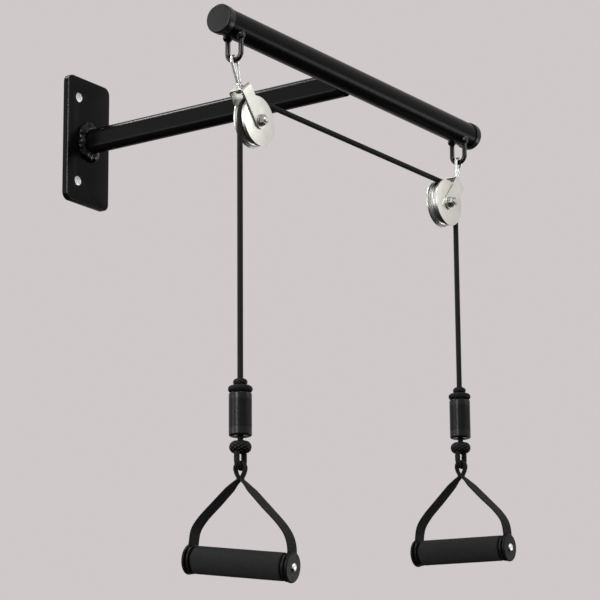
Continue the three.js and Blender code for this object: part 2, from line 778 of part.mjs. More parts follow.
// Shares that shape the webbing: how far its round corners reach, where its legs leave the flanges and
// how its width opens out below the sewn eye
const diagonalShare = Math.SQRT1_2;
const eyePlayShare = 1 / 5;
const eyeFootShares = { across: 0.8, down: 0.45 };
const flangeShares = { shoulder: 2.35, leaving: 1.6, clamped: 1.05 };
const inwardShares = { shoulder: 2, leaving: 1 / 3 };
const openingShares = [
  { along: 0.1, flat: 0.3, twist: 0.3 },
  { along: 0.25, flat: 0.85, twist: 1 },
  { along: 0.6, flat: 1, twist: 1 },
  { along: 1, flat: 1, twist: 0.7 },
];
const seamWidthShare = 0.8;
const seamHeightShare = 1 / 4;

// Webbing in the grip's own frame. It runs up from one end, narrows to a sewn eye round the rope loop,
// and runs down to the other end. The eye and legs stand upright where the grip is tilted, and the
// front leg is turned a little to one side.
function webbing(tilt) {
  const up = new THREE.Vector3(Math.sin(tilt), 0, Math.cos(tilt));
  const across = new THREE.Vector3(Math.cos(tilt), 0, -Math.sin(tilt));
  const pivot = up.clone().multiplyScalar(GRIP_DROP);
  const fromPivot = (x, z) => pivot.clone().addScaledVector(across, x).addScaledVector(up, z);
  const foldHalf = EYE_FOLD_THICK / 2;
  const arch = ropeRadius + GAP + foldHalf + ropeRadius * eyePlayShare;
  const endX = webbingFace + WEBBING_THICK / 2;
  const flangeRadius = HUB_FLANGE / 2;
  const stop = (at, flatShare = 1, twistShare = 0) => ({ at, flatShare, twistShare });
  const legAt = (mirror, inwardShare, flangeShare) => {
    const height = flangeRadius * flangeShare;
    const lean = (height - flangeRadius) * Math.tan(tilt);
    return new THREE.Vector3(mirror * (endX - WEBBING_THICK * inwardShare) + lean, 0, height);
  };
  const half = (mirror) => {
    const pinch = fromPivot(mirror * (foldHalf + GAP), -PINCH_DROP);
    const shoulder = legAt(mirror, inwardShares.shoulder, flangeShares.shoulder);
    const eyeFootX = mirror * arch * eyeFootShares.across;
    const turns = mirror > 0 ? 1 : 0;
    return [
      stop(fromPivot(mirror * arch * diagonalShare, arch * diagonalShare), 0),
      stop(fromPivot(mirror * arch, 0), 0),
      stop(fromPivot(eyeFootX, -PINCH_DROP * eyeFootShares.down), 0),
      stop(pinch, 0),
      ...openingShares.map(({ along, flat, twist }) =>
        stop(pinch.clone().lerp(shoulder, along), flat, turns * twist),
      ),
      stop(legAt(mirror, inwardShares.leaving, flangeShares.leaving)),
      stop(new THREE.Vector3(mirror * endX, 0, flangeRadius * flangeShares.clamped)),
      stop(new THREE.Vector3(mirror * endX, 0, 0)),
      stop(new THREE.Vector3(mirror * endX, 0, -WEBBING_WIDTH / 2)),
    ];
  };
  const stops = [...half(-1).reverse(), stop(fromPivot(0, arch), 0), ...half(1)];
  const curve = new THREE.CatmullRomCurve3(stops.map(({ at }) => at), false, "centripetal");
  const perSpan = 2;
  const stations = (stops.length - 1) * perSpan;
  const rings = Array.from({ length: stations + 1 }, (_, i) => {
    const t = i / stations;
    const centre = curve.getPoint(t);
    const tangent = curve.getTangent(t);
    const place = Math.min(Math.floor(i / perSpan), stops.length - 2);
    const between = i / perSpan - place;
    const blended = (key) => THREE.MathUtils.lerp(stops[place][key], stops[place + 1][key], between);
    const flatShare = blended("flatShare");
    const twist = FRONT_LEG_TWIST * blended("twistShare");
    const sideways = new THREE.Vector3(0, 1, 0).applyAxisAngle(tangent, twist);
    const normal = tangent.clone().cross(sideways).normalize();
    const halfWidth = THREE.MathUtils.lerp(EYE_FOLD_WIDTH, WEBBING_WIDTH, flatShare) / 2;
    const halfThick = THREE.MathUtils.lerp(EYE_FOLD_THICK, WEBBING_THICK, flatShare) / 2;
    const edge = THREE.MathUtils.lerp(EYE_FOLD_WIDTH / 4, WEBBING_THICK / 2, flatShare);
    const corner = (width, thick) =>
      centre.clone().addScaledVector(sideways, width).addScaledVector(normal, thick);
    return [
      corner(halfWidth, 0),
      corner(halfWidth - edge, halfThick),
      corner(edge - halfWidth, halfThick),
      corner(-halfWidth, 0),
      corner(edge - halfWidth, -halfThick),
      corner(halfWidth - edge, -halfThick),
    ];
  });
  const strip = solidOf(lofted(rings, false));
  const seamWidth = EYE_FOLD_WIDTH * seamWidthShare;
  const sewn = new THREE.BoxGeometry(2 * foldHalf, seamWidth, PINCH_DROP * seamHeightShare).rotateY(tilt);
  const seam = fromPivot(0, -PINCH_DROP);
  sewn.translate(seam.x, seam.y, seam.z);
  const hole = turnedAboutX(rodProfile(boltHole / 2, -discEnd, discEnd), SMALL_ROUND);
  return geometryOf(strip.add(solidOf(sewn)).subtract(solidOf(hole)));
}

function foamGrip() {
  const edge = WEBBING_THICK / 2;
  const outer = FOAM_DIAMETER / 2;
  const inner = CORE_DIAMETER / 2 + GAP;
  return turnedAboutX(
    [
      [inner, -gripEnd],
      [outer - edge, -gripEnd],
      [outer, -gripEnd + edge],
      [outer, gripEnd - edge],
      [outer - edge, gripEnd],
      [inner, gripEnd],
    ],
    MIDDLE_ROUND,
  );
}

function coreTube() {
  const outer = CORE_DIAMETER / 2;
  return turnedAboutX(ringProfile(outer - CORE_WALL, outer, -gripEnd, gripEnd), MIDDLE_ROUND);
}

// A moulded hub: a spigot in the core tube, a collar against the grip and a flange for the webbing
function gripHub(end) {
  const spigotRadius = CORE_DIAMETER / 2 - CORE_WALL - GAP;
  const collarEnd = hubFace + HUB_COLLAR_THICK;
  return turnedAboutX(
    [
      [boltHole / 2, hubFace - HUB_SPIGOT],
      [spigotRadius, hubFace - HUB_SPIGOT],
      [spigotRadius, hubFace],
      [HUB_COLLAR / 2, hubFace],
      [HUB_COLLAR / 2, collarEnd],
      [HUB_FLANGE / 2, collarEnd],
      [HUB_FLANGE / 2, flangeFace],
      [boltHole / 2, flangeFace],
    ].map(([r, x]) => [r, end * x]),
    MIDDLE_ROUND,
  );
}

// The outer disc that clamps the webbing, its outer rim rounded
function outerDisc(end) {
  const outer = OUTER_DISC / 2;
  const fillet = OUTER_DISC_THICK / 2;
  return turnedAboutX(
    [
      [boltHole / 2, discFace],
      [outer, discFace],
      ...cornerPoints(outer - fillet, discEnd - fillet, fillet, 0, QUARTER, 2),
      [boltHole / 2, discEnd],
    ].map(([r, x]) => [r, end * x]),
    MIDDLE_ROUND,
  );
}

// A through bolt with a domed head in front, and the domed nut behind that takes its end
const domeShares = { radius: 0.8, rise: 0.75 };
const nutDepthShare = 1 / 3;
const domeBase = discEnd + GAP;
const domeProfile = [
  [BOLT_HEAD / 2, domeBase],
  [(BOLT_HEAD / 2) * domeShares.radius, domeBase + BOLT_HEAD_THICK * domeShares.rise],
  [0, domeBase + BOLT_HEAD_THICK],
];

function throughBolt() {
  const radius = THROUGH_BOLT / 2;
  const end = -domeBase - BOLT_HEAD_THICK * nutDepthShare;
  return turnedAboutX([[0, end], [radius, end], [radius, domeBase], ...domeProfile], SMALL_ROUND);
}

function domeNut() {
  const bore = boltHole / 2;
  const seat = domeBase + BOLT_HEAD_THICK * nutDepthShare + GAP;
  const profile = [[0, seat], [bore, seat], [bore, domeBase], ...domeProfile];
  return turnedAboutX(profile.map(([r, x]) => [r, -x]), SMALL_ROUND);
}

addPiece(part, "wall_plate", wallPlate(), powderCoat);
addPiece(part, "support_arm", supportArm(), powderCoat);
addPiece(part, "wall_weld", wallWeld(), powderCoat);
addPiece(part, "crossbar", crossbar(), powderCoat).position.x = BAR_REACH;

const hangFrom = axleOf(SIDES[0]);
const spanHeight = hangFrom.z + SHEAVE_PITCH_RADIUS;
const spanEnd = Math.abs(hangFrom.y) - GAP;
const spanFrom = new THREE.Vector3(BAR_REACH, -spanEnd, spanHeight);
const spanTo = new THREE.Vector3(BAR_REACH, spanEnd, spanHeight);
addPiece(part, "rope_span", straightRope(spanFrom, spanTo), braid);

for (const place of SIDES) {
  const { name, side, stopperDrop, yaw, tilt } = place;
  const axle = axleOf(place);
  addPiece(part, `${name}_bar_weld`, barWeld(side), powderCoat);
  const cap = addPiece(part, `${name}_end_cap`, endCap(), blackPlastic);
  cap.position.x = BAR_REACH;
  cap.rotation.x = side > 0 ? 0 : Math.PI;
  addPiece(part, `${name}_staple`, staple(), powderCoat).position.set(BAR_REACH, side * STAPLE_SPREAD, 0);

  const eyeGroup = groupAt(part, BAR_REACH, side * STAPLE_SPREAD, -STAPLE_DROP);
  eyeGroup.rotation.x = -side * EYE_LEAN;
  addPiece(eyeGroup, `${name}_eye`, swivelEye(), brightSteel);

  const block = groupAt(part, BAR_REACH, axle.y, axle.z);
  block.rotation.x = -side * BLOCK_LEAN;
  addPiece(block, `${name}_block_strap`, blockStrap(), zincPlate);
  addPiece(block, `${name}_front_cheek`, cheek(1), zincPlate);
  addPiece(block, `${name}_rear_cheek`, cheek(-1), zincPlate);
  addPiece(block, `${name}_sheave`, sheave(), brightSteel);
  addPiece(block, `${name}_bush`, sheaveBush(), bronze);
  addPiece(block, `${name}_axle_bolt`, axleBolt(), brightSteel);
  addPiece(block, `${name}_axle_washer`, axleWasher(), zincPlate);
  addPiece(block, `${name}_axle_nut`, axleNut(), zincPlate);

  addPiece(part, `${name}_rope_wrap`, ropeWrap(side), braid).position.set(BAR_REACH, axle.y, axle.z);
  const dropY = axle.y + side * SHEAVE_PITCH_RADIUS;
  const knotTop = -stopperDrop + RING_KNOT_HEIGHT + BULB_KNOT_HEIGHT + GAP;
  const dropTop = new THREE.Vector3(BAR_REACH, dropY, axle.z - GAP);
  const drop = straightRope(dropTop, new THREE.Vector3(BAR_REACH, dropY, knotTop));
  addPiece(part, `${name}_rope_drop`, drop, braid);

  const ropeEnd = groupAt(part, BAR_REACH, dropY, -stopperDrop);
  ropeEnd.rotation.z = yaw;
  addPiece(ropeEnd, `${name}_upper_knot`, upperKnot(), braid);
  addPiece(ropeEnd, `${name}_stopper`, stopper(), blackPlastic);
  addPiece(ropeEnd, `${name}_lower_knot`, lowerKnot(), braid);
  addPiece(ropeEnd, `${name}_rope_loop`, ropeLoop(), braid);

  const grip = groupAt(ropeEnd, 0, 0, -pivotDrop - GRIP_DROP);
  grip.rotation.y = tilt;
  addPiece(grip, `${name}_webbing`, webbing(-tilt), webbingCloth);
  addPiece(grip, `${name}_foam_grip`, foamGrip(), foam);
  addPiece(grip, `${name}_core_tube`, coreTube(), brightSteel);
  for (const [where, end] of [["front", 1], ["rear", -1]]) {
    addPiece(grip, `${name}_${where}_hub`, gripHub(end), blackPlastic);
    addPiece(grip, `${name}_${where}_disc`, outerDisc(end), blackPlastic);
  }
  addPiece(grip, `${name}_through_bolt`, throughBolt(), brightSteel);
  addPiece(grip, `${name}_dome_nut`, domeNut(), brightSteel);
}

export default part;
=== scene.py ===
import math

import bmesh
import bpy
from mathutils import Matrix, Vector, noise


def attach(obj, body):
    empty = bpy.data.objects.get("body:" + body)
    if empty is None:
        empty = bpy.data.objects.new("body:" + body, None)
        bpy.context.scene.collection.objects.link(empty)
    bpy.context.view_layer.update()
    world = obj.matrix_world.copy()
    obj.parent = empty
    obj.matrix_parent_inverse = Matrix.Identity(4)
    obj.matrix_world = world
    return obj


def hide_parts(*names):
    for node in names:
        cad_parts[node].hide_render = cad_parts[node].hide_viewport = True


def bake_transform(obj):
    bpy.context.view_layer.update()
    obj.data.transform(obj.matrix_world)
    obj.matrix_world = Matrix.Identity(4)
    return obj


# The wall pulley unit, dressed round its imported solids: a T bracket with two swivel pulley blocks, one
# braided rope over both, and a stopper and a stirrup handle on each rope end. Sizes are written in
# millimetres in the part's own frame and reach Blender's metres through in_part.
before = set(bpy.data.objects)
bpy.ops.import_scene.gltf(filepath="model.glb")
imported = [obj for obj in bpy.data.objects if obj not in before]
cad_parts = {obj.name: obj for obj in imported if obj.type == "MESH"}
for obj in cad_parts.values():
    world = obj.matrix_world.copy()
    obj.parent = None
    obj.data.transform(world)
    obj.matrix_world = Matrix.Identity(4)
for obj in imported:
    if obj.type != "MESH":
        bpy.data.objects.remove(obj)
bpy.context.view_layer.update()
scene = bpy.context.scene
scene.view_settings.view_transform = "Standard"
in_part = Matrix.Scale(0.001, 4)


# Camera. It stands out from the wall, to the left of the unit and below it, and looks up at it with a long
# lens, as the photograph does. The frame is 600 pixels square.
camera_heading = math.radians(34.80)
camera_climb = math.radians(14.256)
camera_roll = math.radians(-0.4076)
camera_place = Vector((2504.28, -3020.91, -1244.50))
camera_lens = 159.22
camera_sensor = 36
nearest_seen, farthest_seen = 0.05, 60
forward = Vector((
    -math.sin(camera_heading) * math.cos(camera_climb),
    math.cos(camera_heading) * math.cos(camera_climb),
    math.sin(camera_climb),
))
level = Vector((math.cos(camera_heading), math.sin(camera_heading), 0))
upright = level.cross(forward)
camera_right = level * math.cos(camera_roll) + upright * math.sin(camera_roll)
camera_up = upright * math.cos(camera_roll) - level * math.sin(camera_roll)
camera = bpy.data.objects.new("camera", bpy.data.cameras.new("camera"))
camera.data.lens = camera_lens
camera.data.sensor_width = camera_sensor
camera.data.clip_start = nearest_seen
camera.data.clip_end = farthest_seen
camera.matrix_world = (
    Matrix.Translation(camera_place * 0.001)
    @ Matrix((camera_right, camera_up, -forward)).transposed().to_4x4()
)
scene.collection.objects.link(camera)
scene.camera = camera


# Studio. A pale room whose colour shows only to the camera and in reflections, large soft lamps, and a pale
# floor at the height where such a unit's user stands. None of it is part of the object.
ambient_colour = (1, 0.985, 0.97)
ambient_strength = 0.24
backdrop_colour = (0.624, 0.584, 0.584)
backdrop_strength = 1


def seen_directly(tree):
    """An output that is 1 for rays from the camera, off gloss and through glass, and 0 for all others."""
    rays = tree.nodes.new("ShaderNodeLightPath")
    shown = rays.outputs["Is Camera Ray"]
    for kind in ("Is Glossy Ray", "Is Transmission Ray"):
        either = tree.nodes.new("ShaderNodeMath")
        either.operation = "MAXIMUM"
        tree.links.new(shown, either.inputs[0])
        tree.links.new(rays.outputs[kind], either.inputs[1])
        shown = either.outputs[0]
    return shown


world = bpy.data.worlds.new("studio")
scene.world = world
world.use_nodes = True
room = world.node_tree
room.nodes.clear()
choice = room.nodes.new("ShaderNodeMixShader")
room.links.new(seen_directly(room), choice.inputs[0])
for i, (colour, strength) in enumerate((
    (ambient_colour, ambient_strength),
    (backdrop_colour, backdrop_strength),
)):
    background = room.nodes.new("ShaderNodeBackground")
    background.inputs["Color"].default_value = (*colour, 1)
    background.inputs["Strength"].default_value = strength
    room.links.new(background.outputs[0], choice.inputs[i + 1])
room_out = room.nodes.new("ShaderNodeOutputWorld")
room.links.new(choice.outputs[0], room_out.inputs["Surface"])

# Each soft lamp with its place and aim in metres, its width and height, and its power in watts
unit_middle = (0.4, 0.0, -0.3)
arm_middle = (0.25, 0.0, 0.0)
for name, place, aim, width, height, power in (
    ("key_lamp", (3.0, 1.2, 0.9), unit_middle, 0.9, 0.9, 15),
    ("side_lamp", (0.45, -3.1, 0.4), unit_middle, 0.45, 1.6, 40),
    ("right_lamp", (2.1, 2.4, -1.0), (0.45, 0.0, -0.1), 0.9, 0.8, 10),
    ("left_lamp", (-1.6, -2.4, 0.55), arm_middle, 1.6, 1.4, 8),
    ("low_lamp", (-1.3, -2.55, -0.35), arm_middle, 0.9, 0.35, 12),
    ("top_lamp", (-1.2, -0.5, 1.9), (0.3, 0.0, 0.0), 0.35, 0.35, 30),
    ("front_lamp", (2.6, -2.2, 2.4), unit_middle, 1.6, 1.2, 34),
):
    lamp = bpy.data.objects.new(name, bpy.data.lights.new(name, "AREA"))
    lamp.data.shape = "RECTANGLE"
    lamp.data.size = width
    lamp.data.size_y = height
    lamp.data.energy = power
    lamp_turn = (Vector(aim) - Vector(place)).to_track_quat("-Z", "Y").to_matrix().to_4x4()
    lamp.matrix_world = Matrix.Translation(place) @ lamp_turn
    scene.collection.objects.link(lamp)


def grain_texture(material, scale, detail, stretch=(1, 1, 1)):
    """The output of a noise that is fixed to the piece, with scale in grains per metre."""
    nodes, links = material.node_tree.nodes, material.node_tree.links
    place = nodes.new("ShaderNodeTexCoord")
    spread = nodes.new("ShaderNodeMapping")
    spread.inputs["Scale"].default_value = stretch
    grain = nodes.new("ShaderNodeTexNoise")
    grain.inputs["Scale"].default_value = scale
    grain.inputs["Detail"].default_value = detail
    links.new(place.outputs["Object"], spread.inputs["Vector"])
    links.new(spread.outputs["Vector"], grain.inputs["Vector"])
    return grain.outputs["Fac"]


def uneven_colour(material, texture, low, high, start=0.35, end=0.65):
    """The colour wanders between low and high as the texture does."""
    nodes, links = material.node_tree.nodes, material.node_tree.links
    ramp = nodes.new("ShaderNodeValToRGB")
    ramp.color_ramp.elements[0].position = start
    ramp.color_ramp.elements[0].color = (*low, 1)
    ramp.color_ramp.elements[1].position = end
    ramp.color_ramp.elements[1].color = (*high, 1)
    links.new(texture, ramp.inputs["Fac"])
    links.new(ramp.outputs["Color"], nodes["Principled BSDF"].inputs["Base Color"])


def uneven_gloss(material, texture, low, high, start=0.3, end=0.7):
    """The roughness wanders between low and high as the texture does."""
    nodes, links = material.node_tree.nodes, material.node_tree.links
    span = nodes.new("ShaderNodeMapRange")
    span.inputs["From Min"].default_value = start
    span.inputs["From Max"].default_value = end
    span.inputs["To Min"].default_value = low
    span.inputs["To Max"].default_value = high
    links.new(texture, span.inputs["Value"])
    links.new(span.outputs["Result"], nodes["Principled BSDF"].inputs["Roughness"])


def relief(material, texture, depth, strength):
    """A bump of that depth in metres."""
    nodes, links = material.node_tree.nodes, material.node_tree.links
    bump = nodes.new("ShaderNodeBump")
    bump.inputs["Distance"].default_value = depth
    bump.inputs["Strength"].default_value = strength
    links.new(texture, bump.inputs["Height"])
    links.new(bump.outputs["Normal"], nodes["Principled BSDF"].inputs["Normal"])


def new_finish(name, colour, roughness, metallic=0.0, tones=None, gloss=None, grain=None, **sockets):
    """A material with these plain values on its shader; sockets are further ones, with _ for a space.

    tones, gloss and grain each start with a noise's scale and detail. Then come the two colours or the two
    roughnesses that it runs between, or the depth, strength and stretch of its relief.
    """
    material = bpy.data.materials.new(name)
    material.use_nodes = True
    shader = material.node_tree.nodes["Principled BSDF"]
    shader.inputs["Base Color"].default_value = (*colour, 1)
    shader.inputs["Roughness"].default_value = roughness
    shader.inputs["Metallic"].default_value = metallic
    for socket, value in sockets.items():
        shader.inputs[socket.replace("_", " ")].default_value = value
    if tones:
        scale, detail, low, high = tones
        uneven_colour(material, grain_texture(material, scale, detail), low, high)
    if gloss:
        scale, detail, low, high = gloss
        uneven_gloss(material, grain_texture(material, scale, detail), low, high)
    if grain:
        scale, detail, depth, strength, *stretch = grain
        relief(material, grain_texture(material, scale, detail, *stretch), depth, strength)
    return material


# How near, in metres, two points count as one, and how short an edge counts as none
same_point = 2e-6
same_edge = 1e-7


def new_piece(name, points, faces, material, body, nodes=(), sharp=35):
    """A mesh of points in metres that rides on a body and stands for the CAD nodes."""
    mesh = bpy.data.meshes.new(name)
    mesh.from_pydata(points, [], faces)
    work = bmesh.new()
    work.from_mesh(mesh)
    bmesh.ops.remove_doubles(work, verts=work.verts, dist=same_point)
    bmesh.ops.dissolve_degenerate(work, edges=work.edges, dist=same_edge)
    bmesh.ops.recalc_face_normals(work, faces=work.faces)
    work.to_mesh(mesh)
    work.free()
    mesh.shade_smooth()
    mesh.set_sharp_from_angle(angle=math.radians(sharp))
    mesh.materials.append(material)
    piece = bpy.data.objects.new(name, mesh)
    scene.collection.objects.link(piece)
    if body:
        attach(piece, body)
    if nodes:
        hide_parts(*nodes)
    return piece


def stage_square(name, reach, height, material):
    """A level square that reaches so many metres each way and isn't part of the object."""
    corners = [(x * reach, y * reach, height) for x, y in ((-1, -1), (1, -1), (1, 1), (-1, 1))]
    square = new_piece(name, corners, [(0, 1, 2, 3)], material, None)
    return square


floor_reach = 40
floor_height = -2.3
floor_glow_colour = (0.60, 0.565, 0.56)
floor_glow_strength = 0.55
floor_finish = new_finish("floor_paint", (0.62, 0.60, 0.59), 0.9, Specular_IOR_Level=0.1)
stage_square("floor", floor_reach, floor_height, floor_finish)
# A little of the floor's paleness shows to the camera and in reflections wherever the lamps don't reach it
paint = floor_finish.node_tree
floor_glow = paint.nodes.new("ShaderNodeMath")
floor_glow.operation = "MULTIPLY"
floor_glow.inputs[1].default_value = floor_glow_strength
paint.links.new(seen_directly(paint), floor_glow.inputs[0])
floor_shader = paint.nodes["Principled BSDF"]
floor_shader.inputs["Emission Color"].default_value = (*floor_glow_colour, 1)
paint.links.new(floor_glow.outputs[0], floor_shader.inputs["Emission Strength"])

# A black card under the unit that only shows in reflections, as the shade that darkens the steel from below
card_reach = 3
card_height = -1.3
card_finish = new_finish("card_black", (0.002, 0.002, 0.002), 1.0, Specular_IOR_Level=0.0)
card = stage_square("shade_card", card_reach, card_height, card_finish)
card.visible_camera = card.visible_diffuse = card.visible_shadow = card.visible_transmission = False


# Rope. One 8 mm black polyester rope, twelve strands braided round a core. It runs down from each sheave to
# its stopper and straight across from sheave to sheave.
rope_diameter = 8
rope_sides = 32
rope_ring_step = 0.8
strands_each_way = 6
strand_step = 4.4
strand_depth = 0.16
strand_fullness = 0.7
crossing_rise = 0.5

# Where the rope runs follows from the staples, from the lean of the eyes in them, and from the blocks' lean
gap = 0.3
bar_reach = 500
staple_spread = 288
staple_drop = 50
eye_reach = 37
eye_lean = math.radians(18)
bridge_to_axle = 52
block_lean = math.radians(40)
pitch_radius = 32.5
axle_y = staple_spread - eye_reach * math.sin(eye_lean) - bridge_to_axle * math.sin(block_lean)
axle_z = -staple_drop - eye_reach * math.cos(eye_lean) - bridge_to_axle * math.cos(block_lean)
drop_y = axle_y + pitch_radius
span_z = axle_z + pitch_radius
knots_height = 19
x_way, y_way, z_way = Vector((1, 0, 0)), Vector((0, 1, 0)), Vector((0, 0, 1))
sides = (
    {"name": "left", "side": -1, "stopper_drop": 506, "yaw": math.radians(8), "tilt": math.radians(8.3)},
    {"name": "right", "side": 1, "stopper_drop": 421, "yaw": math.radians(3.4), "tilt": math.radians(1.7)},
)

rope_finish = new_finish(
    "rope_braid",
    (0.008, 0.008, 0.0085),
    0.7,
    gloss=(700, 3, 0.55, 0.85),
    grain=(4200, 2, 0.0003, 0.4, (1, 1, 0.25)),
    Specular_IOR_Level=0.15,
)
# Painted light: the braid's height on the points paints the gaps between strands near black as painted shade,
# and the strands' crests light as a painted highlight
strand_height = rope_finish.node_tree.nodes.new("ShaderNodeAttribute")
strand_height.attribute_name = "strand"
painted_shade_between_strands = (0.0005, 0.0005, 0.0006)
painted_highlight_on_strands = (0.075, 0.072, 0.073)
uneven_colour(rope_finish, strand_height.outputs["Fac"], painted_shade_between_strands, painted_highlight_on_strands, 0.74, 1.0)


def braid_height(angle, travelled, count, step):
    """How high the braid stands there, from 0 between strands to 1 on a strand that passes over."""
    turn = angle * count / (2 * math.pi)
    along = travelled / step
    one, other = math.cos(math.pi * (turn + along)), math.cos(math.pi * (turn - along))
    first = abs(one) ** strand_fullness + crossing_rise * math.copysign(other, one * other)
    second = abs(other) ** strand_fullness - crossing_rise * math.copysign(one, one * other)
    return max(first, second, 0) / (1 + crossing_rise)


def skin_faces(count, around, closed=False, start=0):
    """The faces between count rings of points, closed on themselves or with an end face on each end."""
    faces = []
    for i in range(count if closed else count - 1):
        row = start + i * around
        after = start + (i + 1) % count * around
        for j in range(around):
            k = (j + 1) % around
            faces.append((row + j, row + k, after + k, after + j))
    if not closed:
        faces.append(tuple(start + j for j in reversed(range(around))))
        faces.append(tuple(start + (count - 1) * around + j for j in range(around)))
    return faces


def braided_piece(name, points, faces, heights, body, nodes):
    """A piece of rope whose strands' heights are kept on its points, for the painted shade between strands
    and the painted highlight on them.
    """
    piece = new_piece(name, points, faces, rope_finish, body, nodes, sharp=80)
    strand = piece.data.attributes.new("strand", "FLOAT", "POINT")
    strand.data.foreach_set("value", heights)
    return piece


def braided(name, route, diameter, body, nodes=(), place=in_part):
    """A braided rope of that diameter along a route that lies in a plane square to the x way."""
    points, heights = [], []
    travelled = 0
    for i, point in enumerate(route):
        before, after = route[max(i - 1, 0)], route[min(i + 1, len(route) - 1)]
        outward = (after - before).normalized().cross(x_way)
        for j in range(rope_sides):
            angle = 2 * math.pi * j / rope_sides
            heights.append(braid_height(angle, travelled, strands_each_way, strand_step))
            radius = diameter / 2 * (1 - strand_depth * (1 - heights[-1]))
            points.append(place @ (
                point + x_way * (radius * math.cos(angle)) + outward * (radius * math.sin(angle))
            ))
        travelled += (after - point).length
    return braided_piece(name, points, skin_faces(len(route), rope_sides), heights, body, nodes)


def straight(start, end, step=rope_ring_step):
    """The points of a straight run, a step apart."""
    count = max(2, math.ceil((end - start).length / step))
    return [start.lerp(end, i / count) for i in range(count + 1)]


def arc(centre, right, up, radius, start, end, step=rope_ring_step):
    """The points of an arc in the plane of two unit directions, a step apart."""
    count = max(6, math.ceil(abs(end - start) * radius / step))
    angles = [start + (end - start) * i / count for i in range(count + 1)]
    return [centre + right * (radius * math.cos(a)) + up * (radius * math.sin(a)) for a in angles]


def rope_stretch(name, route, nodes):
    """A free stretch of rope that rides on no body."""
    stretch = braided(name, route, rope_diameter, None, nodes)
    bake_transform(stretch)


for row in sides:
    name, side = row["name"], row["side"]
    block = f"{name}_block"
    rope_stretch(
        f"{name}_rope_span_half",
        straight(Vector((bar_reach, side * (axle_y - gap), span_z)), Vector((bar_reach, 0, span_z))),
        ("rope_span",) if side < 0 else (),
    )
    axle = Vector((bar_reach, side * axle_y, axle_z))
    wrap_route = arc(axle, y_way * side, z_way, pitch_radius, 0, math.pi / 2)
    braided(f"{name}_rope_over_sheave", wrap_route, rope_diameter, block, (f"{name}_rope_wrap",))
    knot_top = -row["stopper_drop"] + knots_height + gap
    drop_start = Vector((bar_reach, side * drop_y, axle_z - gap))
    rope_stretch(
        f"{name}_rope_run_down",
        straight(drop_start, Vector((bar_reach, side * drop_y, knot_top))),
        (f"{name}_rope_drop",),
    )


# Wall plate. A 10 mm steel plate with rounded corners, laser cut with two bolt holes, its edges broken and
# the whole of it powder coated satin black. The coat is thinner and shinier on the rounded edges. The bolt
# holes are drilled through it to bare steel, whose walls are painted near white as painted light for the
# bright background seen through the holes.
plate_width = 100
plate_height = 200
plate_thick = 10
plate_corner = 12
plate_edge = 1
plate_hole = 14
plate_hole_y = -24
plate_hole_z = 67
powder_finish = new_finish(
    "powder_coat",
    (0.0034, 0.0034, 0.0035),
    0.28,
    tones=(60, 5, (0.0030, 0.0030, 0.0031), (0.0039, 0.0038, 0.0039)),
    gloss=(90, 5, 0.27, 0.31),
    grain=(900, 2, 0.0002, 0.08),
    Specular_IOR_Level=0.07,
)
edge_finish = new_finish(
    "powder_coat_edge", (0.006, 0.006, 0.006), 0.22, gloss=(120, 4, 0.19, 0.26), Specular_IOR_Level=0.6
)
# The bores' walls are painted near white: painted light that stands for the bright background seen through
# the holes
bore_painted_light = new_finish(
    "bore_painted_bright", (0.90, 0.88, 0.87), 0.85, 0.1, tones=(300, 3, (0.87, 0.85, 0.84), (0.92, 0.90, 0.89))
)


def round_rectangle(width, height, corner, corner_steps=10, flat_steps=1):
    """Points round a rectangle with rounded corners, about its middle."""
    points = []
    for quarter, (x, y) in enumerate(((1, 1), (-1, 1), (-1, -1), (1, -1))):
        for i in range(corner_steps + 1):
            angle = (quarter + i / corner_steps) * math.pi / 2
            points.append((
                x * (width / 2 - corner) + corner * math.cos(angle),
                y * (height / 2 - corner) + corner * math.sin(angle),
            ))
    if flat_steps == 1:
        return points
    finer = []
    for i, (x, y) in enumerate(points):
        after_x, after_y = points[(i + 1) % len(points)]
        parts = flat_steps if i % (corner_steps + 1) == corner_steps else 1
        finer += [(x + (after_x - x) * k / parts, y + (after_y - y) * k / parts) for k in range(parts)]
    return finer


def circle(radius, count=64, middle=(0, 0)):
    """Points round a circle."""
    angles = [2 * math.pi * i / count for i in range(count)]
    return [(middle[0] + radius * math.cos(a), middle[1] + radius * math.sin(a)) for a in angles]


# How near, in metres, a point counts as lying on a face
same_level = 1e-6


def plate_with_holes(name, outline, holes, thick, edge, place, material, body, nodes):
    """A flat plate with rounded edges; outline and each hole give their points for an inset of the edge."""
    edge_angles = (0, math.pi / 6, math.pi / 3, math.pi / 2)
    levels = [(edge * (1 - math.sin(a)), edge * (1 - math.cos(a))) for a in edge_angles]
    levels += [(inset, thick - height) for inset, height in reversed(levels)]
    work = bmesh.new()
    for make in (outline, *holes):
        loops = [
            [work.verts.new(place @ Vector((x, y, height))) for x, y in make(inset)]
            for inset, height in levels
        ]
        for near, far in zip(loops, loops[1:]):
            for j in range(len(near)):
                k = (j + 1) % len(near)
                work.faces.new((near[j], near[k], far[k], far[j]))
    normal = (place.to_3x3() @ z_way).normalized()
    for height in (0, thick):
        on_face = place @ Vector((0, 0, height))
        rims = [
            rim for rim in work.edges
            if rim.is_boundary and all(abs((v.co - on_face).dot(normal)) < same_level for v in rim.verts)
        ]
        bmesh.ops.triangle_fill(work, edges=rims, use_beauty=True)
    mesh = bpy.data.meshes.new(name)
    work.to_mesh(mesh)
    work.free()
    points = [tuple(v.co) for v in mesh.vertices]
    faces = [tuple(p.vertices) for p in mesh.polygons]
    return new_piece(name, points, faces, material, body, nodes, sharp=30)


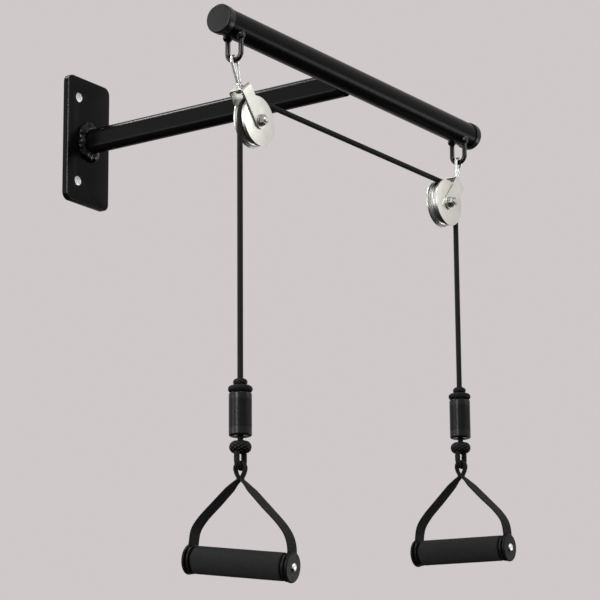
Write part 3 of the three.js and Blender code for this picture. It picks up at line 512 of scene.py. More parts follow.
# The plate's own x and y are the part's Y and Z, and its height is the part's X
on_wall = in_part @ Matrix(((0, 0, 1, 0), (1, 0, 0, 0), (0, 1, 0, 0), (0, 0, 0, 1)))
plate = plate_with_holes(
    "mounting_plate",
    lambda inset: round_rectangle(plate_width - 2 * inset, plate_height - 2 * inset, plate_corner - inset),
    [
        lambda inset, height=height: circle(plate_hole / 2 + inset, 64, (plate_hole_y, height))
        for height in (plate_hole_z, -plate_hole_z)
    ],
    plate_thick,
    plate_edge,
    on_wall,
    powder_finish,
    "bracket",
    ("wall_plate",),
)
plate.data.materials.append(edge_finish)
plate.data.materials.append(bore_painted_light)
edge_index, bore_index = 1, 2
hole_margin = 0.1
side_slope, face_slope = 0.1, 0.99
for face in plate.data.polygons:
    hole_reach = min(
        math.hypot(face.center.y - plate_hole_y / 1000, face.center.z - height / 1000)
        for height in (plate_hole_z, -plate_hole_z)
    )
    if hole_reach < (plate_hole / 2 + hole_margin) / 1000:
        face.material_index = bore_index
    elif side_slope < abs(face.normal.x) < face_slope:
        face.material_index = edge_index


# Support arm. A flat-sided oval steel tube whose end is sawn to a saddle that fits round the crossbar, so its
# open mouth shows above and below the bar.
arm_height = 38
arm_width = 25
arm_corner = 11
arm_wall = 2.2
arm_stop = 14
arm_steps = 40
arm_flat_steps = 16
bar_radius = 19


def arm_end(height):
    """Where the arm ends at a height: on the saddle round the bar, or square before it."""
    clear = bar_radius + gap
    saddle = bar_reach - math.sqrt(max(clear**2 - height**2, 0)) if abs(height) < clear else bar_reach
    return min(bar_reach - arm_stop, saddle)


arm_start = plate_thick + gap
shares = [i / arm_steps for i in range(arm_steps + 1)]
arm_rings = []
for inset, way in ((0, shares), (arm_wall, shares[::-1])):
    line = round_rectangle(
        arm_width - 2 * inset, arm_height - 2 * inset, arm_corner - inset, flat_steps=arm_flat_steps
    )
    for share in way:
        arm_rings.append([(arm_start + (arm_end(z) - arm_start) * share, y, z) for y, z in line])
new_piece(
    "bracket_arm",
    [in_part @ Vector(point) for ring in arm_rings for point in ring],
    skin_faces(len(arm_rings), len(arm_rings[0]), closed=True),
    powder_finish,
    "bracket",
    ("support_arm",),
    sharp=30,
)


# Root weld. A heavy, lumpy fillet laid by hand all round the arm's root and coated over, so it shines black
# with small bright points on its ripples.
root_bead_width = 12
root_bead_height = 9
root_bead_steps = 18
root_ripples = ((0.09, 9, 0), (0.06, 4, 1))
lump_share = 0.10
lumps_per_mm = 0.35
lumps_over_crown = 2.2
weld_finish = new_finish(
    "coated_weld",
    (0.0016, 0.0016, 0.0016),
    0.15,
    tones=(150, 4, (0.0012, 0.0012, 0.0013), (0.0024, 0.0023, 0.0024)),
    gloss=(220, 3, 0.13, 0.19),
    grain=(260, 2, 0.0006, 0.3),
    Specular_IOR_Level=0.22,
)
weld_line = round_rectangle(arm_width, arm_height, arm_corner, corner_steps=30, flat_steps=24)
weld_rings = []
for i, (y, z) in enumerate(weld_line):
    core_y, core_z = (
        max(arm_corner - across / 2, min(across / 2 - arm_corner, v))
        for v, across in ((y, arm_width), (z, arm_height))
    )
    out = Vector((y - core_y, z - core_z)).normalized()
    turn = 2 * math.pi * i / len(weld_line)
    ripple = 1 + sum(depth * math.sin(waves * turn + start) for depth, waves, start in root_ripples)
    ring = [(arm_start, y + out.x * gap, z + out.y * gap)]
    for k in range(root_bead_steps + 1):
        angle = math.pi / 2 * k / root_bead_steps
        spot = Vector((y * lumps_per_mm, z * lumps_per_mm, angle * lumps_over_crown))
        lump = 1 + lump_share * noise.noise(spot) * math.sin(2 * angle)
        width = root_bead_width * ripple * math.cos(angle) * lump
        height = root_bead_height * ripple * math.sin(angle) * lump
        ring.append((arm_start + height, y + out.x * (gap + width), z + out.y * (gap + width)))
    weld_rings.append(ring)
new_piece(
    "arm_root_weld",
    [in_part @ Vector(point) for ring in weld_rings for point in ring],
    skin_faces(len(weld_rings), len(weld_rings[0]), closed=True),
    weld_finish,
    "bracket",
    ("wall_weld",),
    sharp=50,
)


# Crossbar. A 38 mm round steel tube with a 2 mm wall, cut square at both ends, its edges just broken, and
# powder coated with the arm that it is welded to.
bar_wall = 2
bar_length = 640
bar_edge = 0.3


def turned(
    name, profile, place, material, body, nodes=(), count=96, closed=False, sharp=30, wobble=None
):
    """A piece turned about its own z from (radius, height) pairs; a closed profile is a ring's section."""
    points = []
    for i, (radius, height) in enumerate(profile):
        for j in range(count):
            angle = 2 * math.pi * j / count
            grown = radius if wobble is None else radius * (1 + wobble(angle, height, i))
            points.append(place @ Vector((grown * math.cos(angle), grown * math.sin(angle), height)))
    faces = skin_faces(len(profile), count, closed)
    return new_piece(name, points, faces, material, body, nodes, sharp)


def rounded(radius, height, fillet, start, end, steps=6):
    """Points of a profile's rounded corner about (radius, height), between two angles in quarter turns."""
    angles = [(start + (end - start) * i / steps) * math.pi / 2 for i in range(steps + 1)]
    return [(radius + fillet * math.cos(a), height + fillet * math.sin(a)) for a in angles]


about_y = Matrix.Rotation(-math.pi / 2, 4, "X")
about_x = Matrix.Rotation(math.pi / 2, 4, "Y")
half_bar = bar_length / 2
turned(
    "crossbar_tube",
    [
        (bar_radius - bar_wall, -half_bar),
        (bar_radius - bar_edge, -half_bar),
        (bar_radius, -half_bar + bar_edge),
        (bar_radius, half_bar - bar_edge),
        (bar_radius - bar_edge, half_bar),
        (bar_radius - bar_wall, half_bar),
    ],
    in_part @ Matrix.Translation((bar_reach, 0, 0)) @ about_y,
    powder_finish,
    "bracket",
    ("crossbar",),
    count=128,
    closed=True,
)


# Saddle welds. One narrow, rippled bead of weld metal down each side of the arm, where its saddle meets the
# crossbar, laid by hand and coated over.
bar_bead = 4.4
bar_bead_half_angle = math.radians(38)
bead_steps = 60
bead_sides = 16
bead_ripples = 11
bead_ripple_depth = 0.1
bead_tip = 0.05
bead_end_power = 10
bead_radius = bar_radius + gap + bar_bead / 2
for row in sides:
    bead_y = row["side"] * (arm_width / 2 + gap + bar_bead / 2)
    bead_points = []
    for i in range(bead_steps + 1):
        share = i / bead_steps
        angle = -bar_bead_half_angle + 2 * bar_bead_half_angle * share
        end_round = max(math.sqrt(max(0, 1 - (2 * share - 1) ** bead_end_power)), bead_tip)
        ripple = 1 - bead_ripple_depth + bead_ripple_depth * math.cos(2 * math.pi * share * bead_ripples)
        thick = bar_bead / 2 * ripple * end_round
        centre = Vector((bar_reach - bead_radius * math.cos(angle), bead_y, bead_radius * math.sin(angle)))
        outward = Vector((-math.cos(angle), 0, math.sin(angle)))
        bead_points += [
            in_part @ (centre + outward * x + y_way * y) for x, y in circle(thick, bead_sides)
        ]
    new_piece(
        f"{row['name']}_saddle_weld",
        bead_points,
        skin_faces(bead_steps + 1, bead_sides),
        weld_finish,
        "bracket",
        (f"{row['name']}_bar_weld",),
        sharp=60,
    )


# End caps. Black moulded plastic caps pushed over the crossbar's ends, with a flat face, a rounded rim and a
# thin sleeve whose edge leaves a fine line on the bar.
cap_end_thick = 4.7
cap_sleeve = 8
cap_wall = 1.2
cap_fillet = 3
lip_round = 0.4
cap_inner = bar_radius + gap
cap_outer = cap_inner + cap_wall
cap_floor = half_bar + gap
cap_end = cap_floor + cap_end_thick
cap_lip = cap_floor - cap_sleeve
cap_finish = new_finish(
    "cap_plastic",
    (0.009, 0.0095, 0.010),
    0.3,
    tones=(70, 4, (0.0075, 0.008, 0.0084), (0.0108, 0.0114, 0.0118)),
    gloss=(180, 4, 0.27, 0.34),
    grain=(2400, 2, 0.00012, 0.35),
    Specular_IOR_Level=0.28,
)
for row in sides:
    facing = Matrix.Identity(4) if row["side"] > 0 else Matrix.Rotation(math.pi, 4, "X")
    turned(
        f"{row['name']}_bar_cap",
        [
            (0, cap_floor),
            (cap_inner, cap_floor),
            (cap_inner, cap_lip + lip_round),
            (cap_inner + lip_round / 2, cap_lip),
            *rounded(cap_outer - lip_round, cap_lip + lip_round, lip_round, -1, 0, 4),
            *rounded(cap_outer - cap_fillet, cap_end - cap_fillet, cap_fillet, 0, 1, 12),
            (0, cap_end),
        ],
        in_part @ Matrix.Translation((bar_reach, 0, 0)) @ facing @ about_y,
        cap_finish,
        "bracket",
        (f"{row['name']}_end_cap",),
        count=128,
        sharp=40,
    )


# Staples. A U of 7 mm round bar under each end of the crossbar, its two legs welded on with a lump of weld
# each, coated with the bracket.
staple_rod = 7
staple_width = 22
staple_sides = 24
staple_blob = 14
leg_sink = 2
leg_step = 2
crown_step = 1.2
blob_rings = 20
blob_around = 40
blob_lump = 0.13
blob_grain = 2.1
blob_narrowed = 0.86
blob_clearance = 0.1
half_staple = staple_width / 2
bend_height = -staple_drop + half_staple
bar_surface = -math.sqrt(bar_radius**2 - half_staple**2)
leg_top = bar_surface + leg_sink
rod_finish = new_finish(
    "coated_rod",
    (0.0016, 0.0016, 0.0016),
    0.2,
    tones=(150, 4, (0.0012, 0.0012, 0.0013), (0.0024, 0.0023, 0.0024)),
    gloss=(220, 3, 0.17, 0.24),
    grain=(260, 2, 0.0004, 0.15),
    Specular_IOR_Level=0.5,
)


def rod(route, across, radius, count):
    """The points of a round rod along a flat route whose plane is square to across."""
    points = []
    for i, point in enumerate(route):
        before, after = route[max(i - 1, 0)], route[min(i + 1, len(route) - 1)]
        outward = (after - before).normalized().cross(across)
        points += [point + across * x + outward * y for x, y in circle(radius, count)]
    return points


def weld_blob(x, seed):
    """The points of the lump of weld round a leg, which stays outside the crossbar."""
    points = []
    for i in range(blob_rings + 1):
        polar = math.pi * i / blob_rings
        for j in range(blob_around):
            angle = 2 * math.pi * j / blob_around
            spot = Vector((
                math.sin(polar) * math.cos(angle), math.sin(polar) * math.sin(angle), math.cos(polar)
            ))
            spot *= staple_blob / 2 * (1 + blob_lump * noise.noise(spot * blob_grain + Vector((x, seed, 0))))
            spot.x = spot.x * blob_narrowed + x
            spot.z += bar_surface
            short = (bar_radius + blob_clearance) / math.hypot(spot.x, spot.z)
            if short > 1:
                spot.x, spot.z = spot.x * short, spot.z * short
            points.append(spot)
    return points


for row in sides:
    foot = Vector((bar_reach, row["side"] * staple_spread, 0))
    staple_route = (
        straight(Vector((-half_staple, 0, leg_top)), Vector((-half_staple, 0, bend_height)), leg_step)[:-1]
        + arc(Vector((0, 0, bend_height)), x_way, z_way, half_staple, math.pi, 2 * math.pi, crown_step)
        + straight(Vector((half_staple, 0, bend_height)), Vector((half_staple, 0, leg_top)), leg_step)[1:]
    )
    points = rod(staple_route, y_way, staple_rod / 2, staple_sides)
    faces = skin_faces(len(staple_route), staple_sides)
    for x in (-half_staple, half_staple):
        faces += skin_faces(blob_rings + 1, blob_around, start=len(points))
        points += weld_blob(x, row["side"] * 3)
    new_piece(
        f"{row['name']}_hanging_staple",
        [in_part @ (foot + point) for point in points],
        faces,
        rod_finish,
        "bracket",
        (f"{row['name']}_staple",),
        sharp=60,
    )


# Swivel eyes. A teardrop of 4.5 mm bright plated wire that hooks round the staple; its two ends are forged
# into one headed shank, which turns in the strap of the block below.
eye_wire = 4.5
eye_inner = 9
eye_sides = 24
ring_step = 0.7
foot_step = 1.2
strap_thick = 2.2
shank_diameter = 6.5
shank_collar = 10
shank_collar_thick = 2
shank_head = 13
shank_head_thick = 4
fine_round = 0.4
bright_finish = new_finish(
    "bright_zinc",
    (0.66, 0.68, 0.66),
    0.34,
    1.0,
    tones=(200, 3, (0.60, 0.62, 0.60), (0.71, 0.73, 0.71)),
    gloss=(300, 3, 0.32, 0.37),
    grain=(400, 2, 0.0001, 0.04),
)
wire_radius = eye_wire / 2
eye_bend = eye_inner / 2 + wire_radius
eye_centre = Vector((0, 0, staple_rod / 2 + gap + wire_radius - eye_bend))
relative_lean = block_lean - eye_lean


def clear_of_bridge(radius):
    """How far along the shank a face of that radius just clears the leaning bridge."""
    return (strap_thick / 2 + gap + radius * math.sin(relative_lean)) / math.cos(relative_lean)


shank_radius = shank_diameter / 2
collar_low = -eye_reach + clear_of_bridge(shank_collar / 2)
collar_high = collar_low + shank_collar_thick
collar_round = 0.7
head_high = -eye_reach - clear_of_bridge(shank_head / 2)
head_low = head_high - shank_head_thick
head_round = 1
head_flat = shank_head * 0.36
head_side = head_low + shank_head_thick * 0.4
# The wire's feet come together on the collar and leave it straight, to where they meet the ring's bend
foot_y, foot_z = wire_radius * 0.8, collar_high
foot_sink = 1
reach_back = math.hypot(foot_y, foot_z - eye_centre.z)
eye_start = math.atan2(foot_z - eye_centre.z, foot_y) + math.acos(eye_bend / reach_back)
for row in sides:
    name, side = row["name"], row["side"]
    eye_place = (
        in_part
        @ Matrix.Translation((bar_reach, side * staple_spread, -staple_drop))
        @ Matrix.Rotation(-side * eye_lean, 4, "X")
    )
    ring_route = arc(eye_centre, y_way, z_way, eye_bend, eye_start, math.pi - eye_start, ring_step)
    near_foot = straight(Vector((0, foot_y, foot_z - foot_sink)), ring_route[0], foot_step)
    far_foot = straight(ring_route[-1], Vector((0, -foot_y, foot_z - foot_sink)), foot_step)
    eye_route = near_foot[:-1] + ring_route + far_foot[1:]
    new_piece(
        f"{name}_eye_wire",
        [eye_place @ point for point in rod(eye_route, x_way, wire_radius, eye_sides)],
        skin_faces(len(eye_route), eye_sides),
        bright_finish,
        f"{name}_eye_body",
        (f"{name}_eye",),
        sharp=60,
    )
    turned(
        f"{name}_eye_shank",
        [
            (0, head_low),
            (head_flat, head_low),
            *rounded(shank_head / 2 - head_round, head_side + head_round, head_round, -0.5, 0, 3),
            *rounded(shank_head / 2 - fine_round, head_high - fine_round, fine_round, 0, 1, 3),
            (shank_radius, head_high),
            (shank_radius, collar_low),
            *rounded(shank_collar / 2 - fine_round, collar_low + fine_round, fine_round, -1, 0, 3),
            *rounded(shank_collar / 2 - collar_round, collar_high - collar_round, collar_round, 0, 1, 4),
            (shank_radius + wire_radius * 0.3, collar_high + 0.3),
            (shank_radius * 0.9, collar_high + shank_collar_thick),
            (shank_radius * 0.45, collar_high + 1.7 * shank_collar_thick),
            (0, collar_high + 1.9 * shank_collar_thick),
        ],
        eye_place,
        bright_finish,
        f"{name}_eye_body",
        count=48,
    )


# Block straps. One strip of 24 by 2.2 mm zinc plated steel for each block, folded into two legs and a bridge
# so that its round ends lie flat on the cheek plates. It is drilled for the axle bolt and the eye's shank.
strap_width = 24
strap_bend = 4.5
strap_inner = 9.3
strap_edge = 0.35
strap_outer = strap_inner + strap_thick
axle_hole = 8.6
axle_drill_length = 40
shank_hole = 10
shank_drill_length = 10
drill_sides = 48
zinc_finish = new_finish(
    "satin_zinc",
    (0.78, 0.80, 0.735),
    0.36,
    1.0,
    tones=(40, 3, (0.75, 0.77, 0.705), (0.81, 0.83, 0.765)),
    gloss=(90, 3, 0.34, 0.39),
    grain=(1500, 2, 0.00008, 0.06, (0.25, 1, 1)),
)


def block_place(row):
    """The place of a block, with its origin in its axle and its z up towards the bridge."""
    return (
        in_part
        @ Matrix.Translation((bar_reach, row["side"] * axle_y, axle_z))
        @ Matrix.Rotation(-row["side"] * block_lean, 4, "X")
    )


def drilled(piece, drills):
    """Cuts each drill's (place, radius, length) out of the piece."""
    for place, radius, length in drills:
        around = circle(radius, drill_sides)
        points = [place @ Vector((x, y, z)) for z in (-length / 2, length / 2) for x, y in around]
        drill = new_piece("drill", points, skin_faces(2, drill_sides), None, None)
        cut = piece.modifiers.new("drilled", "BOOLEAN")
        cut.operation = "DIFFERENCE"
        cut.solver = "EXACT"
        cut.object = drill
        bpy.context.view_layer.update()
        finished = piece.evaluated_get(bpy.context.evaluated_depsgraph_get())
        finished = bpy.data.meshes.new_from_object(finished)
        piece.modifiers.clear()
        piece.data = finished
        bpy.data.objects.remove(drill)
    piece.data.shade_smooth()
    piece.data.set_sharp_from_angle(angle=math.radians(30))


# Half of the strap's middle line, from the round end up to the bridge, as places with the way out of the
# strap and half its width there
end_angles = [math.radians(a) for a in (84, 76, 66, 54, 40, 26, 12, 0)]
leg_heights = (8, 16, 24, 32, 40)
middle_x = (strap_inner + strap_outer) / 2
half_strap = strap_width / 2
fold_radius = strap_bend - strap_thick / 2
fold_steps = 8
fold_middle = Vector((middle_x - fold_radius, 0, bridge_to_axle - fold_radius))
half_line = [
    (Vector((middle_x, 0, -half_strap * math.sin(a))), x_way, half_strap * math.cos(a)) for a in end_angles
]
half_line += [(Vector((middle_x, 0, height)), x_way, half_strap) for height in (*leg_heights, fold_middle.z)]
for i in range(1, fold_steps + 1):
    angle = math.pi / 2 * i / fold_steps
    out = Vector((math.cos(angle), 0, math.sin(angle)))
    half_line.append((fold_middle + out * fold_radius, out, half_strap))
strap_line = half_line + [
    (Vector((-c.x, c.y, c.z)), Vector((-o.x, o.y, o.z)), w) for c, o, w in reversed(half_line)
]
strap_points = []
for centre, out, width in strap_line:
    flat, high = width - min(strap_edge, width / 2), strap_thick / 2
    low = high - strap_edge
    section = [(width, low), (flat, high), (-flat, high), (-width, low)]
    section += [(-w, -h) for w, h in section]
    strap_points += [centre + y_way * w + out * h for w, h in section]
for row in sides:
    strap = new_piece(
        f"{row['name']}_folded_strap",
        [block_place(row) @ point for point in strap_points],
        skin_faces(len(strap_line), 8),
        zinc_finish,
        f"{row['name']}_block",
        (f"{row['name']}_block_strap",),
    )
    drilled(strap, [
        (block_place(row) @ about_x, axle_hole / 2, axle_drill_length),
        (block_place(row) @ Matrix.Translation((0, 0, bridge_to_axle)), shank_hole / 2, shank_drill_length),
    ])


# Cheek plates. Two round pressed discs of zinc plated sheet beside each sheave, under the strap's legs, that
# keep the rope in the groove.
cheek_radius = 35
cheek_inner = 7.5
cheek_outer = 9
cheek_edge = 0.35
cheek_section = [
    (axle_hole / 2, cheek_inner),
    *rounded(cheek_radius - cheek_edge, cheek_inner + cheek_edge, cheek_edge, -1, 0, 3),
    *rounded(cheek_radius - cheek_edge, cheek_outer - cheek_edge, cheek_edge, 0, 1, 3),
    (axle_hole / 2, cheek_outer),
]
for row in sides:
    for where, facing in (("front", 1), ("rear", -1)):
        turned(
            f"{row['name']}_{where}_cheek_disc",
            [(r, facing * x) for r, x in cheek_section],
            block_place(row) @ about_x,
            zinc_finish,
            f"{row['name']}_block",
            (f"{row['name']}_{where}_cheek",),
            count=128,
            closed=True,
        )


# Sheaves. Turned steel wheels with a half-round groove for the rope, a thinner web and a hub, each on a
# sintered bronze bush. The bush keeps its CAD shape, since the cheek plates hide it.
rim_radius = 34
sheave_half = 7
sheave_hub = 24
sheave_web = 9
bush_diameter = 16
groove = rope_diameter / 2 + gap
groove_steps = 20
half_mouth = math.acos((rim_radius - pitch_radius) / groove)
web_top = pitch_radius - groove - rope_diameter / 4
web_slope = 0.6
web_break = 0.5
rim_side = rim_radius - rope_diameter / 6
bore = bush_diameter / 2 + gap
sheave_finish = new_finish(
    "turned_steel",
    (0.74, 0.75, 0.72),
    0.38,
    1.0,
    tones=(90, 3, (0.71, 0.72, 0.69), (0.77, 0.78, 0.75)),
    gloss=(300, 3, 0.36, 0.41),
    grain=(900, 2, 0.00008, 0.04),
)
bush_finish = new_finish(
    "bush_bronze",
    (0.42, 0.27, 0.12),
    0.42,
    1.0,
    tones=(400, 3, (0.32, 0.20, 0.09), (0.50, 0.33, 0.16)),
    grain=(2500, 2, 0.0001, 0.3),
)
groove_turn = 2 * math.pi - 2 * half_mouth
groove_angles = [half_mouth + groove_turn * i / groove_steps for i in range(groove_steps + 1)]
sheave_profile = [
    *[(pitch_radius + groove * math.cos(a), groove * math.sin(a)) for a in groove_angles],
    (rim_side, -sheave_half),
    (web_top + web_slope, -sheave_half),
    (web_top, -sheave_half + web_break),
    (web_top - web_slope, -sheave_web / 2),
    (sheave_hub / 2, -sheave_web / 2),
    (sheave_hub / 2, -sheave_half),
    (bore, -sheave_half),
    (bore, sheave_half),
    (sheave_hub / 2, sheave_half),
    (sheave_hub / 2, sheave_web / 2),
    (web_top - web_slope, sheave_web / 2),
    (web_top, sheave_half - web_break),
    (web_top + web_slope, sheave_half),
    (rim_side, sheave_half),
]
for row in sides:
    name = row["name"]
    turned(
        f"{name}_sheave_wheel",
        sheave_profile,
        block_place(row) @ about_x,
        sheave_finish,
        f"{name}_sheave_body",
        (f"{name}_sheave",),
        count=128,
        closed=True,
        sharp=25,
    )
    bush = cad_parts[f"{name}_bush"]
    bush.data.materials.clear()
    bush.data.materials.append(bush_finish)


# Axle bolts. An M8 bolt through each block with its head behind, a washer and a nut in front, and a little of
# the threaded end proud of the nut.
axle_radius = 4
axle_hex = 13
axle_head_thick = 5.3
axle_nut_thick = 5.5
axle_proud = 1.6
washer_diameter = 17
washer_thick = 1.5
washer_edge = 0.2
thread_depth = 0.45
thread_step = 0.5
thread_steps = 4
thread_hidden = 1
hex_around = 96
hex_levels = 24
hex_chamfer = math.radians(30)
hex_face_share = 0.96
washer_place = strap_outer + gap
washer_top = washer_place + washer_thick
nut_place = washer_top + gap
nut_end = nut_place + axle_nut_thick
bolt_end = nut_end + axle_proud
bolt_start = -washer_place - axle_head_thick / 2
hardware_finish = new_finish(
    "dark_zinc",
    (0.40, 0.40, 0.38),
    0.32,
    1.0,
    tones=(160, 4, (0.36, 0.36, 0.34), (0.45, 0.45, 0.43)),
    gloss=(350, 3, 0.30, 0.36),
    grain=(900, 2, 0.0001, 0.05),
)


def hex_rings(flats, low, high, inner):
    """Rings of a nut or bolt head of that width across flats, its corners turned off at the high end."""
    rings = [[(inner, low)] * hex_around]
    for i in range(hex_levels + 1):
        height = low + (high - low) * i / hex_levels
        limit = flats / 2 * hex_face_share + abs(high - height) / math.tan(hex_chamfer)
        ring = []
        for j in range(hex_around):
            from_flat = math.radians((j * 360 / hex_around + 30) % 60 - 30)
            ring.append((min(flats / 2 / math.cos(from_flat), limit), height))
        rings.append(ring)
    rings.append([(inner, high)] * hex_around)
    return rings


def from_rings(name, rings, place, material, body, nodes=(), closed=False):
    """A piece from rings of (radius, height) pairs about its own z axis."""
    count = len(rings[0])
    ways = circle(1, count)
    points = [place @ Vector((r * x, r * y, h)) for ring in rings for (x, y), (r, h) in zip(ways, ring)]
    faces = skin_faces(len(rings), count, closed)
    return new_piece(name, points, faces, material, body, nodes, sharp=22)


thread = [
    (axle_radius - (thread_depth if i % 2 else 0), nut_end - thread_hidden + i * thread_step)
    for i in range(thread_steps)
]
for row in sides:
    name = row["name"]
    place = block_place(row) @ about_x
    turned(
        f"{name}_axle_shank",
        [
            (0, bolt_start),
            (axle_radius, bolt_start),
            (axle_radius, nut_place),
            *thread,
            (axle_radius, bolt_end - axle_radius / 5),
            (axle_radius * 0.8, bolt_end),
            (axle_radius * 0.7, bolt_end),
            (0, bolt_end),
        ],
        place,
        bright_finish,
        f"{name}_block",
        (f"{name}_axle_bolt",),
        count=48,
    )
    from_rings(
        f"{name}_axle_head",
        hex_rings(axle_hex, -washer_place, -washer_place - axle_head_thick, 0),
        place,
        hardware_finish,
        f"{name}_block",
    )
    turned(
        f"{name}_axle_washer_disc",
        [
            (axle_hole / 2, washer_place),
            (washer_diameter / 2 - washer_edge, washer_place),
            (washer_diameter / 2, washer_place + washer_edge),
            *rounded(washer_diameter / 2 - fine_round, washer_top - fine_round, fine_round, 0, 1, 3),
            (axle_hole / 2, washer_top),
        ],
        place,
        hardware_finish,
        f"{name}_block",
        (f"{name}_axle_washer",),
        count=64,
        closed=True,
    )
    from_rings(
        f"{name}_axle_hex_nut",
        hex_rings(axle_hex, nut_place, nut_end, axle_hole / 2),
        place,
        hardware_finish,
        f"{name}_block",
        (f"{name}_axle_nut",),
        closed=True,
    )


# Upper knots. The rope itself is worked into a wide turn that seats on the stopper, with a smaller one on top
# of it, and the standing part runs through both.
ring_knot_diameter = 33
ring_knot_height = 9.5
bulb_diameter = 19.5
bulb_height = 9.5
bulb_hole = 0.1
core_share = 1.15
knot_strands = 8
knot_strand_depth = 0.2


def rope_end_place(row):
    """The place of a rope end, with its origin at the middle of the stopper's top."""
    return (
        in_part
        @ Matrix.Translation((bar_reach, row["side"] * drop_y, -row["stopper_drop"]))
        @ Matrix.Rotation(row["yaw"], 4, "Z")
    )


def knot_turn(name, row, height, outer, thick, body, nodes=(), count=knot_strands, squeeze=1.0):
    """One closed turn of braided rope round the rope's own axis, of that outer diameter and thickness."""
    centre_radius = outer / 2 - thick / 2
    steps = max(60, round(2 * math.pi * centre_radius / rope_ring_step))
    cells = max(4, round(2 * math.pi * centre_radius / strand_step / 2) * 2)
    place = rope_end_place(row)
    points, heights = [], []
    for i in range(steps):
        around = 2 * math.pi * i / steps
        out = Vector((math.cos(around), math.sin(around), 0))
        for j in range(rope_sides):
            angle = 2 * math.pi * j / rope_sides
            heights.append(braid_height(angle, i / steps * cells, count, 1))
            radius = thick / 2 * (1 - knot_strand_depth * (1 - heights[-1]))
            across = centre_radius + radius * math.cos(angle)
            up = height + squeeze * radius * math.sin(angle)
            points.append(place @ (out * across + z_way * up))
    return braided_piece(name, points, skin_faces(steps, rope_sides, closed=True), heights, body, nodes)


for row in sides:
    name = row["name"]
    rope_end = f"{name}_rope_end"
    knot_turn(
        f"{name}_wide_turn",
        row,
        ring_knot_height / 2 + gap / 2,
        ring_knot_diameter,
        ring_knot_height - gap,
        rope_end,
        (f"{name}_upper_knot",),
    )
    knot_turn(
        f"{name}_top_turn",
        row,
        ring_knot_height + bulb_height / 2,
        bulb_diameter,
        bulb_diameter / 2 - bulb_hole,
        rope_end,
        squeeze=bulb_height / (bulb_diameter / 2),
    )
    core_route = straight(Vector((0, 0, gap)), Vector((0, 0, ring_knot_height + bulb_height - gap)))
    braided(
        f"{name}_knot_core", core_route, rope_diameter * core_share, rope_end, place=rope_end_place(row)
    )


# Stoppers. Moulded plastic barrels on the rope that meet the sheave, with fine ribs round the upper middle
# and plain, rounded ends.
stopper_diameter = 30.5
stopper_length = 58
stopper_bore = 10
stopper_fillet = 2.4
bore_chamfer = 0.6
rib_start = 9
rib_end = 47
rib_count = 24
rib_depth = 0.45
rib_pitch = (rib_end - rib_start) / rib_count
stopper_radius = stopper_diameter / 2
stopper_finish = new_finish(
    "stopper_plastic",
    (0.003, 0.0042, 0.0046),
    0.32,
    tones=(90, 4, (0.0024, 0.0035, 0.0038), (0.0038, 0.0051, 0.0056)),
    gloss=(260, 3, 0.28, 0.34),
    grain=(2600, 2, 0.0001, 0.3),
    Specular_IOR_Level=0.26,
)
# Each rib's top, then its valley, by their shares of the pitch
rib_shape = ((0, 0), (0.45, 0), (0.62, rib_depth), (0.83, rib_depth))
stopper_profile = [
    (stopper_bore / 2, gap),
    (stopper_bore / 2 + bore_chamfer, 0),
    *rounded(stopper_radius - stopper_fillet, stopper_fillet, stopper_fillet, -1, 0, 8),
    *[
        (stopper_radius - depth, rib_start + (i + share) * rib_pitch)
        for i in range(rib_count)
        for share, depth in rib_shape
    ],
    (stopper_radius, rib_end),
    *rounded(stopper_radius - stopper_fillet, stopper_length - stopper_fillet, stopper_fillet, 0, 1, 8),
    (stopper_bore / 2 + bore_chamfer, stopper_length),
    (stopper_bore / 2, stopper_length - gap),
]
for row in sides:
    turned(
        f"{row['name']}_stopper_barrel",
        [(r, -z) for r, z in stopper_profile],
        rope_end_place(row),
        stopper_finish,
        f"{row['name']}_rope_end",
        (f"{row['name']}_stopper",),
        count=128,
        closed=True,
        sharp=28,
    )


# Lower knots and loops. Below the stopper the rope makes a round knot, and from it hangs a loop of the same
# rope that carries the handle's webbing.
neck_length = 6
lower_knot_diameter = 30
lower_knot_height = 19.5
lower_knot_strands = 10
knot_plump = 16.5
lower_knot_hole = 0.2
neck_start = -0.5
neck_into_knot = 0.6
loop_depth = 16
loop_radius = 10
loop_sink = 4
neck_end = stopper_length + neck_length
loop_top = neck_end + lower_knot_height + gap
pivot_drop = loop_top + loop_depth
loop_low = -pivot_drop + loop_radius
for row in sides:
    name = row["name"]
    place = rope_end_place(row)
    knot_turn(
        f"{name}_round_knot",
        row,
        -(neck_end + knot_plump / 2),
        lower_knot_diameter,
        lower_knot_diameter / 2 - lower_knot_hole,
        f"{name}_loop",
        (f"{name}_lower_knot",),
        count=lower_knot_strands,
        squeeze=knot_plump / (lower_knot_diameter / 2),
    )
    neck_low = -neck_end - lower_knot_height * neck_into_knot
    neck_route = straight(Vector((0, 0, neck_start)), Vector((0, 0, neck_low)))
    braided(f"{name}_rope_through_stopper", neck_route, rope_diameter, f"{name}_loop", place=place)
    leg_high = -loop_top + loop_sink
    loop_route = (
        straight(Vector((0, -loop_radius, leg_high)), Vector((0, -loop_radius, loop_low)))[:-1]
        + arc(Vector((0, 0, loop_low)), y_way, z_way, loop_radius, math.pi, 2 * math.pi)
        + straight(Vector((0, loop_radius, loop_low)), Vector((0, loop_radius, leg_high)))[1:]
    )
    braided(
        f"{name}_hanging_loop", loop_route, rope_diameter, f"{name}_loop", (f"{name}_rope_loop",), place
    )


